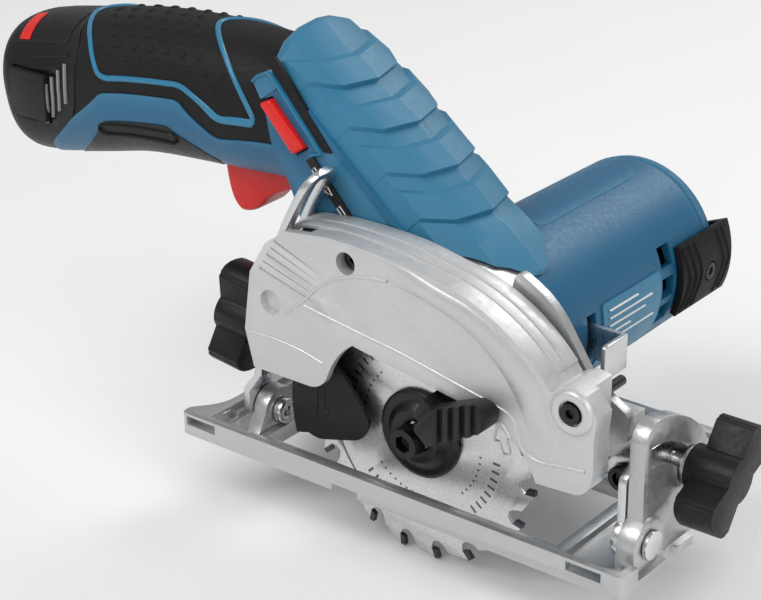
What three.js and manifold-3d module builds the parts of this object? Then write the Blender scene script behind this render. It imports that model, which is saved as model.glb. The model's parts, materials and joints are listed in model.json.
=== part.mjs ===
// A compact cordless circular saw. Millimetres, +X the cutting direction, +Y towards the motor, +Z up.
// Inside this file y = 0 is the blade's middle plane, x = 0 the blade's axis and z = 0 the sole.
import * as THREE from "three";
import { mergeVertices } from "three/addons/utils/BufferGeometryUtils.js";
import Module from "manifold-3d";

const wasm = await Module();
wasm.setup();

// ---------- driving dimensions ----------
const GAP = 0.3; // free space left between neighbouring pieces
const blade = { radius: 42.5, teeth: 20, thickness: 1.1, bore: 7.5, depth: 22.7, firstTip: -118.9 };
const spindle = { x: 0, z: blade.radius - blade.depth, r: 4 };
const bevelAxis = { y: 0, z: 9.8 };
const bevelSlot = { radius: 27, halfWidth: 3.3, from: 30, to: 88.5, screw: 37 };
const pivot = { x: 67.7, y: 8, z: 24.6, r: 2, end: 15.6 };
const strip = { outer: 127, thick: 2.4, y: [-8.8, 4.2], stud: 6.5, slotHalf: 2.9 };
const motor = { x: 4.4, z: 46.9, radius: 28.5, y: [22, 110], end: 118 };
const idler = { x: -7.4, z: 34.5, room: 15.6 };
const guard = { x: 5.3, z: 17, radius: 61.5, face: -12, wall: 2.5, back: 4.7 };
const lowerGuard = { radius: 47, from: 28, to: 195, rim: 3 };
const middle = 24; // the parting plane of the body shells
const bodyHalf = 19; // half the body's width
const handle = { radius: 22, wall: 2.6, mouth: -150 };
const datumY = 40; // the row's origin lies on the sole, this far to the motor side of the blade

// ---------- colours ----------
const finish = (color, roughness, metalness) => ({ color, roughness, metalness });
const CAST = finish(0xc9cbcc, 0.45, 0.75);
const PAINT = finish(0xd6d7d5, 0.42, 0.35);
const STEEL = finish(0xb4b6b8, 0.32, 1);
const DARK_STEEL = finish(0x2a2b2d, 0.45, 0.8);
const BLUE = finish(0x1f6a96, 0.55, 0);
const BLACK = finish(0x1b1b1d, 0.6, 0);
const RUBBER = finish(0x232325, 0.8, 0);
const RED = finish(0xd8201c, 0.45, 0);
const COPPER = finish(0x9a5a2c, 0.4, 0.8);
const WHITE = finish(0xe6e6e2, 0.5, 0);

// ---------- solids ----------
function toSolid(geometry) {
  const source = geometry.index ? geometry.toNonIndexed() : geometry;
  const bare = new THREE.BufferGeometry();
  bare.setAttribute("position", source.getAttribute("position"));
  const merged = mergeVertices(bare, 1e-4);
  const corners = [];
  for (let i = 0; i < merged.index.count; i += 3) {
    const [a, b, c] = [0, 1, 2].map((k) => merged.index.getX(i + k));
    if (a !== b && b !== c && c !== a) corners.push(a, b, c);
  }
  const vertProperties = Float32Array.from(merged.attributes.position.array);
  return new wasm.Manifold(
    new wasm.Mesh({ numProp: 3, vertProperties, triVerts: Uint32Array.from(corners) }),
  );
}

const join = (...solids) => solids.reduce((whole, next) => whole.add(next));
const cut = (whole, ...tools) => tools.reduce((left, tool) => left.subtract(tool), whole);
const common = (...solids) => solids.reduce((left, next) => left.intersect(next));

function box(x, y, z) {
  const size = [x, y, z].map(([low, high]) => high - low);
  const centre = [x, y, z].map(([low, high]) => (low + high) / 2);
  return toSolid(new THREE.BoxGeometry(...size).translate(...centre));
}

// A cone or cylinder along one axis; centre holds the two other coordinates, in X, Y, Z order.
function cone(axis, centre, startRadius, endRadius, [low, high], segments = 20) {
  const geometry = new THREE.CylinderGeometry(endRadius, startRadius, high - low, segments);
  const [a, b] = centre;
  const mid = (low + high) / 2;
  if (axis === "x") geometry.rotateZ(-Math.PI / 2).translate(mid, a, b);
  if (axis === "y") geometry.translate(a, mid, b);
  if (axis === "z") geometry.rotateX(Math.PI / 2).translate(a, b, mid);
  return toSolid(geometry);
}
const rod = (axis, centre, radius, span, segments) =>
  cone(axis, centre, radius, radius, span, segments);
const ring = (axis, centre, outer, inner, span, segments) =>
  cut(
    rod(axis, centre, outer, span, segments),
    rod(axis, centre, inner, [span[0] - 1, span[1] + 1], segments),
  );

// A closed profile of [radius, y] points, listed from +Y to -Y along its outside, turned about a Y axis.
function turned([x, z], profile, segments) {
  const points = [...profile, profile[0]].reverse().map(([r, y]) => new THREE.Vector2(r, y));
  return toSolid(new THREE.LatheGeometry(points, segments).translate(x, 0, z));
}

// Extrudes a flat shape: axis "x" reads it as (y, z), "y" as (x, z) and "z" as (x, y).
function plate(axis, shape, [low, high], curveSegments = 4) {
  const geometry = new THREE.ExtrudeGeometry(shape, {
    depth: high - low,
    bevelEnabled: false,
    curveSegments,
  });
  if (axis === "x") {
    const turn = new THREE.Matrix4().makeBasis(
      new THREE.Vector3(0, 1, 0),
      new THREE.Vector3(0, 0, 1),
      new THREE.Vector3(1, 0, 0),
    );
    geometry.applyMatrix4(turn).translate(low, 0, 0);
  }
  if (axis === "y") geometry.rotateX(Math.PI / 2).translate(0, high, 0);
  if (axis === "z") geometry.translate(0, 0, low);
  return toSolid(geometry);
}

// A closed outline through [u, v, cornerRadius] points; a corner with a radius is rounded off.
function outline(points) {
  const shape = new THREE.Shape();
  points.forEach(([u, v, radius = 0], i) => {
    const corner = new THREE.Vector2(u, v);
    const before = new THREE.Vector2(...points.at(i - 1));
    const after = new THREE.Vector2(...points[(i + 1) % points.length]);
    const longest = 0.48 * Math.min(before.distanceTo(corner), after.distanceTo(corner));
    const reach = Math.min(radius, longest);
    const start = corner.clone().add(before.sub(corner).setLength(reach));
    const end = corner.clone().add(after.sub(corner).setLength(reach));
    if (i === 0) shape.moveTo(start.x, start.y);
    else shape.lineTo(start.x, start.y);
    if (reach > 0) shape.quadraticCurveTo(u, v, end.x, end.y);
  });
  return shape;
}

const radians = (degrees) => (degrees * Math.PI) / 180;
const polar = (centre, radius, degrees) => [
  centre[0] + radius * Math.cos(radians(degrees)),
  centre[1] + radius * Math.sin(radians(degrees)),
];

// Part of a ring between two angles.
function sector(centre, inner, outer, from, to) {
  const shape = new THREE.Shape();
  shape.absarc(centre[0], centre[1], outer, radians(from), radians(to), false);
  shape.absarc(centre[0], centre[1], inner, radians(to), radians(from), true);
  return shape;
}

// A skin over rings of points with flat ends. Rings run the same way round, first to last.
function loft(rings) {
  const count = rings[0].length;
  const points = rings.flat();
  const faces = [];
  for (let r = 0; r + 1 < rings.length; r++) {
    for (let i = 0; i < count; i++) {
      const [a, b] = [r * count + i, r * count + ((i + 1) % count)];
      faces.push(a, b, a + count, b, b + count, a + count);
    }
  }
  for (const [r, flip] of [[0, true], [rings.length - 1, false]]) {
    const middlePoint = rings[r].reduce((sum, p) => sum.add(p), new THREE.Vector3());
    points.push(middlePoint.divideScalar(count));
    for (let i = 0; i < count; i++) {
      const [a, b] = [r * count + i, r * count + ((i + 1) % count)];
      faces.push(...(flip ? [b, a, points.length - 1] : [a, b, points.length - 1]));
    }
  }
  const geometry = new THREE.BufferGeometry().setFromPoints(points);
  geometry.setIndex(faces);
  return toSolid(geometry);
}

// A spur gear about a Y axis, with slim straight-sided teeth.
function gear({ x, z }, teeth, module, span, phase = 0) {
  const pitch = (module * teeth) / 2;
  const step = 360 / teeth;
  const flank = [
    [-0.34, -1.2],
    [-0.11, 0.8],
    [0.11, 0.8],
    [0.34, -1.2],
  ];
  const points = [];
  for (let tooth = 0; tooth < teeth; tooth++) {
    for (const [part, height] of flank) {
      const angle = phase + (tooth + part * 0.86) * step;
      points.push(polar([x, z], pitch + height * module, angle));
    }
  }
  return plate("y", outline(points), span);
}

function hexSocket(axis, centre, acrossFlats, span) {
  return rod(axis, centre, acrossFlats / Math.sqrt(3), span, 6);
}

// ---------- base ----------
const baseEdge = {
  near: -17.5,
  far: 76,
  rear: -84,
  front: 83.5,
  floor: 2.6,
  rib: 5,
  wall: 7.5,
  lip: 3,
};
const opening = { x: [-54, 56], y: [-10, 31] };

function basePlanOutline() {
  const { near, far, rear, front } = baseEdge;
  return outline([
    [rear, near, 3],
    [front, near, 3],
    [front, 6],
    [front - 3, 6],
    [front - 3, 14],
    [front - 1, 14],
    [front - 1, 22],
    [front - 7.5, 26],
    [front - 7.5, far - 5],
    [front - 17, far],
    [rear + 10, far, 6],
    [rear - 2, far - 16],
    [rear - 2, 21, 2],
    [rear + 7, 9, 6],
    [rear + 7, -5, 6],
    [rear, near + 4],
  ]);
}

function quadrant() {
  const centre = [bevelAxis.y, bevelAxis.z];
  const span = [75, 80];
  const top = new THREE.Shape();
  top.moveTo(-2.8, baseEdge.floor);
  top.lineTo(-2.8, 42);
  top.quadraticCurveTo(-1, 47.6, 4.5, 47.6);
  top.absarc(...centre, 38, radians(82), radians(28), true);
  top.lineTo(33.5, 20);
  top.lineTo(36, baseEdge.floor);
  top.closePath();
  const web = plate("x", top, span, 12);
  const { radius, halfWidth, from, to } = bevelSlot;
  const slot = plate(
    "x",
    sector(centre, radius - halfWidth, radius + halfWidth, from, to),
    [span[0] - 1, span[1] + 1],
    12,
  );
  const ear = join(
    rod("x", centre, 8.2, [74.8, 81]),
    box([74.8, 81], [-8.2, 8], [1, bevelAxis.z]),
  );
  return cut(join(cut(web, slot), ear), rod("x", centre, 3.3, [70, 90]));
}

function rearEar() {
  const centre = [bevelAxis.y, bevelAxis.z];
  const span = [-62, -57];
  const ear = join(
    rod("x", centre, 7.5, span),
    plate("x", outline([[-13, 1], [-7.2, 11], [7.2, 11], [13, 1]]), span),
  );
  return cut(ear, rod("x", centre, 2.8, [-70, -50]));
}

function basePlate() {
  const { near, far, rear, front, floor, rib, wall, lip } = baseEdge;
  const tray = plate("z", basePlanOutline(), [0, wall]);
  const aboveRibs = join(
    box([rear + 10, front - lip], [near + lip, far - 4], [rib, 20]),
    box([front - 11, front + 1], [near + 8, far - 4], [floor + 0.4, 20]),
  );
  const hollow = join(
    box([rear + 12, front - lip], [near + lip, opening.y[0] - 2.5], [floor, 20]),
    box([opening.x[1] + 4, front - 8.6], [opening.y[0] - 5, far - 4], [floor, 20]),
    box([rear + 12, opening.x[0] - 2.6], [opening.y[0] - 5, far - 4], [floor, 20]),
    box([opening.x[0] - 7, front - 15], [opening.y[1] + 3, far - 4], [floor, 20]),
  );
  const crossRibs = [62, 15, -29].map((x) => box([x - 1, x + 1], [opening.y[1], far - 2], [1, rib]));
  const longRib = box([opening.x[0] - 6, front - 10], [50, 52], [1, rib]);
  const guidePassage = [-76, 70].map((x) => box([x - 6, x + 6], [near - 1, near + 14], [3.4, 6.4]));
  const ledgePockets = [];
  for (let i = 0; i < 9; i++) {
    const x = -48 + i * 12;
    ledgePockets.push(box([x, x + 8], [near + 3.4, near + 6.2], [5.4, 9]));
  }
  const sightNotch = box([-22, -12], [near - 1, near + 4], [-1, 2.2]);
  const windows = box(opening.x, opening.y, [-1, 20]);
  const ribbed = join(cut(tray, aboveRibs, hollow), ...crossRibs, longRib);
  const body = cut(ribbed, windows, sightNotch, ...guidePassage, ...ledgePockets);
  return join(body, quadrant(), rearEar());
}

// The pin ends stand clear of the carriage, which turns on them.
function bevelRivet() {
  const centre = [bevelAxis.y, bevelAxis.z];
  return join(rod("x", centre, 3, [70, 81.4]), rod("x", centre, 4.6, [81.3, 82.6]));
}

function bevelScrewRear() {
  const centre = [bevelAxis.y, bevelAxis.z];
  const body = join(rod("x", centre, 2.5, [-66.5, -56]), rod("x", centre, 4.2, [-56.7, -54]));
  return cut(body, hexSocket("x", centre, 3.4, [-55.6, -50]));
}

// ---------- bevel carriage ----------
const screwAt = polar([bevelAxis.y, bevelAxis.z], bevelSlot.radius, bevelSlot.screw);

function pivotBracket() {
  const face = outline([
    [-3, bevelAxis.z],
    [0, 4.5],
    [12, 6, 4],
    [30, 20, 6],
    [29, 33, 6],
    [8, 34, 4],
    [-3, 30, 3],
  ]);
  const span = [71.6, 74.4];
  const front = join(plate("x", face, span), rod("x", [bevelAxis.y, bevelAxis.z], 6.2, span));
  const lugY = [pivot.y - 1.2, pivot.y + 2];
  const lug = join(
    rod("y", [pivot.x, pivot.z], 6.5, lugY),
    box([pivot.x, 72], lugY, [pivot.z - 6.4, pivot.z + 6.4]),
  );
  return cut(
    join(front, lug),
    rod("x", [bevelAxis.y, bevelAxis.z], 3.3, [60, 80]),
    rod("y", [pivot.x, pivot.z], pivot.r + 0.3, [0, 20]),
    rod("x", screwAt, 2.8, [68, 80]),
  );
}

// The clamp screw's square neck is held by the bracket; its thread runs out through the quadrant's slot.
function bevelClampScrew() {
  return join(rod("x", screwAt, 4.6, [69.2, 71.3]), rod("x", screwAt, 2.5, [71.2, 93]));
}

function depthGuide() {
  const centre = [pivot.x, pivot.z];
  const { outer, thick, y } = strip;
  const inner = outer - thick;
  const wide = [y[0], y[1]];
  const half = (y[1] - y[0]) / 2;
  const mid = (y[0] + y[1]) / 2;
  const topAngle = 180 - 35.5;
  const arc = plate("y", sector(centre, inner, outer, topAngle, 180), wide, 20);
  const tab = plate(
    "y",
    outline([[-56.9, 25.5], [-62.3, 17.6], [-62.3, 2.5], [-64.7, 2.5], [-64.7, 18.6], [-59.3, 25.5]]),
    wide,
  );
  const foot = join(
    box([-70, -20], wide, [bevelAxis.z, 110]),
    rod("x", [bevelAxis.y, bevelAxis.z], 5.5, [-70, -55]),
  );
  const [, topZ] = polar(centre, outer, topAngle);
  const crown = join(
    box([-70, -20], wide, [0, topZ - half]),
    rod("x", [mid, topZ - half], half, [-70, -20], 28),
  );
  const slot = join(
    box([-70, -20], [mid - strip.slotHalf, mid + strip.slotHalf], [27, topZ - half]),
    rod("x", [mid, topZ - half], strip.slotHalf, [-70, -20], 20),
  );
  const lowerEnd = common(join(tab, arc), foot, crown);
  return cut(lowerEnd, slot, rod("x", [bevelAxis.y, bevelAxis.z], 2.8, [-75, -60]));
}

// A wing knob turning about the local +X axis, its hub face at x = 0.
function wingKnob(wings) {
  const shape = new THREE.Shape();
  const { reach, root, tip } = wings;
  shape.moveTo(root, -root);
  shape.quadraticCurveTo(tip * 0.8, -reach * 0.45, tip, -reach + tip * 0.6);
  shape.quadraticCurveTo(tip * 0.9, -reach, 0, -reach);
  shape.quadraticCurveTo(-tip * 0.9, -reach, -tip, -reach + tip * 0.6);
  shape.quadraticCurveTo(-tip * 0.8, -reach * 0.45, -root, -root);
  shape.absarc(0, 0, root * Math.SQRT2, radians(225), radians(135), true);
  shape.quadraticCurveTo(-tip * 0.8, reach * 0.45, -tip, reach - tip * 0.6);
  shape.quadraticCurveTo(-tip * 0.9, reach, 0, reach);
  shape.quadraticCurveTo(tip * 0.9, reach, tip, reach - tip * 0.6);
  shape.quadraticCurveTo(tip * 0.8, reach * 0.45, root, root);
  shape.absarc(0, 0, root * Math.SQRT2, radians(45), radians(-45), true);
  const ribs = [-1, 1].flatMap((end) =>
    [0, 1].map((i) => rod("x", [tip + 0.6, end * (reach - 3 - i * 4.4)], 1.3, [2.6, 16], 8)),
  );
  const wing = cut(plate("x", shape, [3, 15.4]), ...ribs, ...ribs.map((rib) => rib.mirror([0, 1, 0])));
  return join(wing, rod("x", [0, 0], root * Math.SQRT2, [0, 13]));
}

// Places a knob built about +X on a stud that starts at point and leans by the two angles.
function placeKnob(knob, point, tiltY, spin) {
  const place = new THREE.Matrix4()
    .makeTranslation(...point)
    .multiply(new THREE.Matrix4().makeRotationY(radians(tiltY)))
    .multiply(new THREE.Matrix4().makeRotationX(radians(spin)));
  return knob.transform(place.elements);
}

const knobSize = { reach: 17.5, root: 5, tip: 7.4 };

function bevelWingKnob() {
  const bored = cut(wingKnob(knobSize), rod("x", [0, 0], 2.8, [-1, 12], 20));
  return placeKnob(bored, [82, ...screwAt], 0, -52);
}

function bevelWasher() {
  return ring("x", screwAt, 6, 2.8, [80.3, 81.7], 24);
}

// ---------- depth clamp ----------
const stripMid = (strip.y[0] + strip.y[1]) / 2;
const studDirection = new THREE.Vector3(
  -Math.cos(radians(strip.stud)),
  0,
  Math.sin(radians(strip.stud)),
);
const onStud = (radius) => [
  pivot.x + studDirection.x * radius,
  stripMid,
  pivot.z + studDirection.z * radius,
];

// Something built along +X, moved on to the clamp stud with its x = 0 at the given radius.
const onClamp = (solid, radius, spin = 0) =>
  placeKnob(solid, onStud(radius), 180 + strip.stud, spin);

function depthClampStud() {
  const { outer, thick } = strip;
  const seat = outer - thick;
  const built = join(rod("x", [0, 0], 2.4, [0, 24], 20), rod("x", [0, 0], 5.2, [-2, 2], 6));
  return onClamp(built, seat - 9);
}

function depthWasher() {
  return onClamp(ring("x", [0, 0], 6.2, 2.8, [0, 1.4], 24), strip.outer + GAP);
}

function depthWingKnob() {
  const bored = cut(wingKnob({ ...knobSize, reach: 17 }), rod("x", [0, 0], 2.8, [-1, 14], 20));
  return onClamp(bored, strip.outer + 2, 8);
}

// ---------- castings of the head ----------
const housingFace = 6.5;
const cupEnd = 36;
const centreOf = ({ x, z }) => [x, z];

function gearHousing() {
  const nose = centreOf(spindle);
  const backPlate = plate(
    "y",
    outline([
      [-17, 20, 3],
      [-34, 47, 6],
      [-32, 67.6, 3],
      [26, 67.6],
      [29, 79, 3],
      [42, 72, 8],
      [56, 51, 3],
      [68.4, 44, 2],
      [68.2, 35, 2],
      [60, 32, 3],
      [40, 30, 4],
      [17, 17, 4],
      [12, 8, 5],
      [-12, 8, 5],
    ]),
    [housingFace, housingFace + 3.2],
  );
  const bossSpan = [pivot.y + 2.4, pivot.end];
  const pivotBoss = join(
    rod("y", [pivot.x, pivot.z], 3.6, bossSpan, 20),
    plate("y", outline([[64.1, 24.6], [71.3, 24.6], [68.2, 34], [68.2, 43], [42, 43], [42, 36]]), bossSpan),
  );
  const armBridge = box([30, 68.2], [housingFace + 1, pivot.end], [37, 43]);
  const snout = plate(
    "y",
    outline([[-22, 36, 8], [-15.4, 17, 6], [-8, 5, 7], [8, 5, 7], [15.4, 17, 6], [22, 36, 8]]),
    [housingFace, 29.5],
  );
  const cup = join(
    rod("y", centreOf(motor), 25, [housingFace, cupEnd], 40),
    rod("y", centreOf(motor), motor.radius, [housingFace, motor.y[0] - GAP], 40),
    rod("y", centreOf(idler), idler.room + 2, [housingFace, cupEnd], 24),
  );
  const collar = rod("y", nose, 13.8, [4, housingFace + 1], 24);
  const cavity = join(
    rod("y", nose, 13.8, [16.2, 24], 24),
    rod("y", nose, 7.3, [23.9, 28]),
    rod("y", nose, 9.2, [10, 16.3]),
    rod("y", nose, 8.2, [1, 10.1]),
    rod("y", centreOf(idler), 6.4, [14, 28.4]),
    rod("y", centreOf(idler), idler.room, [28.2, cupEnd + 1], 24),
    rod("y", centreOf(motor), 6, [24.4, cupEnd + 1]),
  );
  const screwHoles = guardScrewPoints.map(([x, , z]) => rod("y", [x, z], 1.9, [4, 15], 12));
  return cut(
    join(backPlate, pivotBoss, armBridge, snout, cup, collar),
    cavity,
    rod("y", [pivot.x, pivot.z], pivot.r + 0.1, [5, 30]),
    ...screwHoles,
  );
}

function gearCover() {
  const span = [cupEnd + GAP, cupEnd + 2.6];
  const cover = join(
    rod("y", centreOf(motor), 24.8, span, 40),
    rod("y", centreOf(idler), idler.room + 1.8, span, 24),
  );
  return cut(cover, rod("y", centreOf(motor), 8.4, [30, 45], 24));
}

function depthPivotBolt() {
  const centre = [pivot.x, pivot.z];
  const head = join(
    rod("y", centre, 3.9, [pivot.y - 4.4, pivot.y - 1.5], 24),
    rod("y", centre, pivot.r, [pivot.y - 1.6, pivot.end], 20),
  );
  return cut(head, rod("y", centre, 2.2, [pivot.y - 6, pivot.y - 2.4], 20));
}

const guardScrewPoints = [
  [61.2, guard.face, 50.7],
  [-19.6, guard.face + 5, 74.6],
];

function guardScrew([x, faceY, z]) {
  const y = faceY;
  const body = join(rod("y", [x, z], 3.3, [y - 1.4, y + 1.6], 20), rod("y", [x, z], 1.6, [y, 14], 12));
  return cut(body, hexSocket("y", [x, z], 2.6, [y - 2, y + 0.4]));
}

function guardOutline(inset) {
  const shape = new THREE.Shape();
  const { x, z, radius } = guard;
  const r = radius - inset;
  shape.moveTo(-57 + inset, 29.5);
  shape.lineTo(-60.3 + inset, 42);
  shape.lineTo(-57.5 + inset, 62);
  shape.lineTo(-51 + inset, 73 - inset);
  shape.lineTo(-43 + inset, 79 - inset);
  shape.lineTo(-26, 81.2 - inset);
  shape.quadraticCurveTo(-8, 81.6 - inset, ...polar([x, z], r, 82));
  shape.absarc(x, z, r, radians(82), radians(38), true);
  shape.lineTo(58.5 - inset, 57.5 - inset);
  shape.lineTo(65 - inset, 56.4 - inset);
  shape.lineTo(69.4 - inset, 51);
  shape.lineTo(68.6 - inset, 43.5);
  shape.lineTo(68.8 - inset, 34);
  shape.quadraticCurveTo(68 - inset, 25.2, 62, 25);
  shape.lineTo(49.5, 24.2);
  shape.quadraticCurveTo(46, 33, 40.5, 35.8);
  shape.lineTo(31.5, 40.6);
  shape.lineTo(-17.5, 48.3);
  shape.quadraticCurveTo(-24.5, 43.5, -27.6, 34.5);
  shape.quadraticCurveTo(-29.5, 30.2, -34.3, 29.6);
  shape.closePath();
  return shape;
}

function upperGuard() {
  const { face, wall, back } = guard;
  const shell = plate("y", guardOutline(0), [face, back], 10);
  const hollow = plate("y", guardOutline(wall), [face + wall, back + 1], 10);
  const bottomOpen = join(
    box([-48, 60], [face + wall, back + 1], [20, 50]),
    box([-70, -47], [face + wall, back + 1], [20, 31]),
  );
  const stripExit = join(
    box([-72, -54], [face + wall, back + 1], [20, 66]),
    box([-72, -34.5], [face + wall, back + 1], [58, 95]),
  );
  const frontRelief = box([63.5, 80], [-4, back + 1], [15, 60]);
  const bosses = guardScrewPoints.map(([x, , z]) => rod("y", [x, z], 5.4, [face + 0.1, back]));
  const studBlock = common(
    box([-58, -47], [face + 1, 3.6], [31, 52]),
    rod("y", [pivot.x, pivot.z], strip.outer - strip.thick - 0.4, [-20, 10], 120),
  );
  const stud = onClamp(rod("x", [0, 0], 2.7, [-6, 30], 16), strip.outer - strip.thick - 9);
  const studHead = onClamp(rod("x", [0, 0], 6, [-20, 2.3], 6), strip.outer - strip.thick - 9);
  const screwWays = guardScrewPoints.map(([x, y, z]) =>
    join(rod("y", [x, z], 3.6, [face - 2, y + 1.8], 20), rod("y", [x, z], 1.9, [face, 20], 16)),
  );
  const pocket = cone("y", [-49.5, 53.7], 4.2, 3.8, [face - 1, face + 2], 20);
  const grooves = [0, 1, 2, 3, 4].map((i) =>
    plate(
      "y",
      outline([[-53.5 + i * 1.6, 64 + i * 2.6], [-53.5 + i * 1.6, 64.7 + i * 2.6], [-29, 57.7 + i * 2.6]]),
      [face - 1, face + 0.5],
    ),
  );
  const hollowed = cut(shell, hollow, bottomOpen, stripExit);
  return cut(
    join(hollowed, ...bosses, studBlock),
    frontRelief,
    stud,
    studHead,
    ...screwWays,
    pocket,
    ...grooves,
  );
}

// ---------- lower guard ----------
function lowerGuardShell() {
  const centre = centreOf(spindle);
  const { radius, from, to, rim } = lowerGuard;
  const nearY = [-6, -4.4];
  const farY = [3.9, 5.5];
  const band = plate("y", sector(centre, radius - rim, radius, from, to), [nearY[0], farY[1]], 15);
  const cheek = plate("y", sector(centre, radius - 9, radius - 1, from, to), nearY, 15);
  const wedge = plate(
    "y",
    outline([
      polar(centre, 46, 150),
      polar(centre, 30, 152),
      [...polar(centre, 16, 178), 2],
      [...polar(centre, 20, 200), 4],
      [...polar(centre, 40, 198), 7],
      polar(centre, 46, 190),
      polar(centre, 46.8, 172),
    ]),
    nearY,
  );
  const arm = plate("y", sector(centre, 17, radius - 1, 60, to), farY, 12);
  const hub = ring("y", centre, 19, 14.2, farY, 24);
  return cut(join(band, cheek, wedge, arm, hub), rod("y", centre, 14.2, [3, 7], 24));
}

// Screwed to the guard's near cheek, stepping out past the upper guard's face.
function guardLever() {
  const centre = centreOf(spindle);
  const foot = plate("y", sector(centre, 23, 42, 47, 60), [-8.6, -6.4], 4);
  const step = plate("y", sector(centre, 17, 24.6, 40, 61), [-16, -6.9], 4);
  const bar = plate(
    "y",
    outline([[11, 33, 2], [16.5, 28.5], [36, 39, 3], [38, 45, 3], [33, 47.5, 3], [17, 40.5]]),
    [-20, -13.2],
  );
  const grips = [0, 1, 2, 3].map((i) => box([20 + i * 4, 22.2 + i * 4], [-22, -18.6], [25, 55]));
  return cut(join(foot, step, bar), ...grips);
}

// ---------- spindle ----------
function spindleShaft() {
  const centre = centreOf(spindle);
  return cut(
    join(rod("y", centre, spindle.r, [3.4, 27.4], 24), rod("y", centre, 5, [-2.2, 3.5], 24)),
    rod("y", centre, 2.4, [-3, 14], 16),
  );
}

// The angle, seen along the axes, of the line from one shaft to another.
const towards = (from, to) => (Math.atan2(to.z - from.z, to.x - from.x) * 180) / Math.PI;
const halfTooth = (teeth) => 180 / teeth;

function spindleGear() {
  const bore = rod("y", centreOf(spindle), spindle.r + GAP, [10, 30], 24);
  return cut(gear(spindle, 24, 1, [17, 23], towards(spindle, idler)), bore);
}

function sawBlade() {
  const centre = centreOf(spindle);
  const { radius, teeth, thickness, bore, firstTip } = blade;
  const step = 360 / teeth;
  const profile = [
    [0, 0],
    [-1.6, -3.6],
    [-0.2, -5.6],
    [2.6, -6.2],
    [5.4, -5],
    [7.6, -2.6],
  ];
  const points = [];
  for (let tooth = 0; tooth < teeth; tooth++) {
    for (const [turn, drop] of profile) {
      points.push(polar(centre, radius + drop, firstTip + tooth * step + turn));
    }
  }
  const half = thickness / 2;
  const body = plate("y", outline(points), [-half, half]);
  const slots = [0, 90, 180, 270].map((turn) =>
    plate("y", sector(centre, 33.6, 34.4, turn + 20, turn + 44), [-1, 1], 3),
  );
  return cut(body, rod("y", centre, bore, [-2, 2], 24), ...slots);
}

function innerFlange() {
  const centre = centreOf(spindle);
  const body = join(rod("y", centre, 12, [0.85, 3.1], 24), rod("y", centre, 7.2, [-0.4, 1], 24));
  return cut(body, rod("y", centre, 5.2, [-2, 6], 24));
}

function outerFlange() {
  const profile = [
    [5.3, -0.9],
    [14.6, -0.9],
    [14.6, -2],
    [13.4, -2.6],
    [11.4, -2.2],
    [10.4, -2.9],
    [8.6, -4.6],
    [5.3, -4.6],
  ];
  return turned(centreOf(spindle), profile, 28);
}

function bladeBolt() {
  const centre = centreOf(spindle);
  const body = join(
    rod("y", centre, 4.9, [-10.4, -4.9], 32),
    rod("y", centre, 2.1, [-5, 13], 16),
  );
  return cut(body, hexSocket("y", centre, 5, [-11, -7.2]));
}

function lowerGuardSpring() {
  return ring("y", centreOf(spindle), 16.8, 14.6, [5.8, 6.2], 24);
}

const bearing = (at, outer, inner, span) => ring("y", centreOf(at), outer, inner, span);

// ---------- idler and motor ----------
function idlerShaft() {
  const shaft = rod("y", centreOf(idler), 2.2, [15, 35.4], 16);
  return join(shaft, gear(idler, 9, 1, [17, 23], towards(idler, spindle) + halfTooth(9)));
}

function idlerGear() {
  const wheel = gear(idler, 31, 0.9, [29, 33], towards(idler, motor));
  return cut(wheel, rod("y", centreOf(idler), 2.5, [20, 40], 16));
}

const motorShaft = () => rod("y", centreOf(motor), 1.6, [28.5, 100], 16);

function motorPinion() {
  const wheel = gear(motor, 7, 0.9, [29, 33], towards(motor, idler) + halfTooth(7));
  return cut(wheel, rod("y", centreOf(motor), 1.9, [20, 50], 16));
}

function armature() {
  const body = [];
  for (let pole = 0; pole < 5; pole++) {
    body.push(plate("y", sector(centreOf(motor), 3, 11.2, pole * 72, pole * 72 + 50), [50, 76], 4));
  }
  const core = rod("y", centreOf(motor), 5.5, [50, 76], 20);
  return cut(join(core, ...body), rod("y", centreOf(motor), 1.9, [40, 90], 16));
}

const commutator = () => ring("y", centreOf(motor), 4.6, 1.9, [79, 87], 20);

function coolingFan() {
  const hub = ring("y", centreOf(motor), 5, 1.9, [93, 98]);
  const back = ring("y", centreOf(motor), 16, 4.5, [93, 94.2], 24);
  const vanes = [];
  for (let i = 0; i < 9; i++) {
    vanes.push(plate("y", sector(centreOf(motor), 4, 16, i * 40, i * 40 + 6), [93.5, 98], 2));
  }
  return join(hub, back, ...vanes);
}

function motorCan() {
  const can = ring("y", centreOf(motor), 18.5, 15.8, [39.5, 90], 24);
  const frontEnd = ring("y", centreOf(motor), 17, 2.2, [39.5, 42], 24);
  const rearEnd = ring("y", centreOf(motor), 17, 2.2, [88.4, 90], 24);
  const windows = [0, 120, 240].map((turn) =>
    plate("y", sector(centreOf(motor), 8, 14, turn, turn + 60), [35, 95], 3),
  );
  return cut(join(can, frontEnd, rearEnd), ...windows);
}

// ---------- plastic body ----------
const handlePath = [
  [-30, 96, 17.4, 15],
  [-60, 101.5, 18.4, 20],
  [-76, 103, 20.2, 22],
  [-100, 102.5, 21.5, 22.6],
  [-125, 100.4, 22.4, 22.8],
  [-150, 95.4, 22.8, 23.4],
];

// A rounded section of the handle, square to its middle line.
function handleRing(x, z, halfY, halfZ, lean, count = 24) {
  const points = [];
  for (let i = 0; i < count; i++) {
    const angle = (2 * Math.PI * (i + 0.5)) / count;
    const squareness = 0.84;
    const side = Math.sign(Math.cos(angle)) * Math.abs(Math.cos(angle)) ** squareness * halfY;
    const up = Math.sign(Math.sin(angle)) * Math.abs(Math.sin(angle)) ** squareness * halfZ;
    points.push(new THREE.Vector3(x - up * Math.sin(lean), middle + side, z + up * Math.cos(lean)));
  }
  return points;
}

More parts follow.
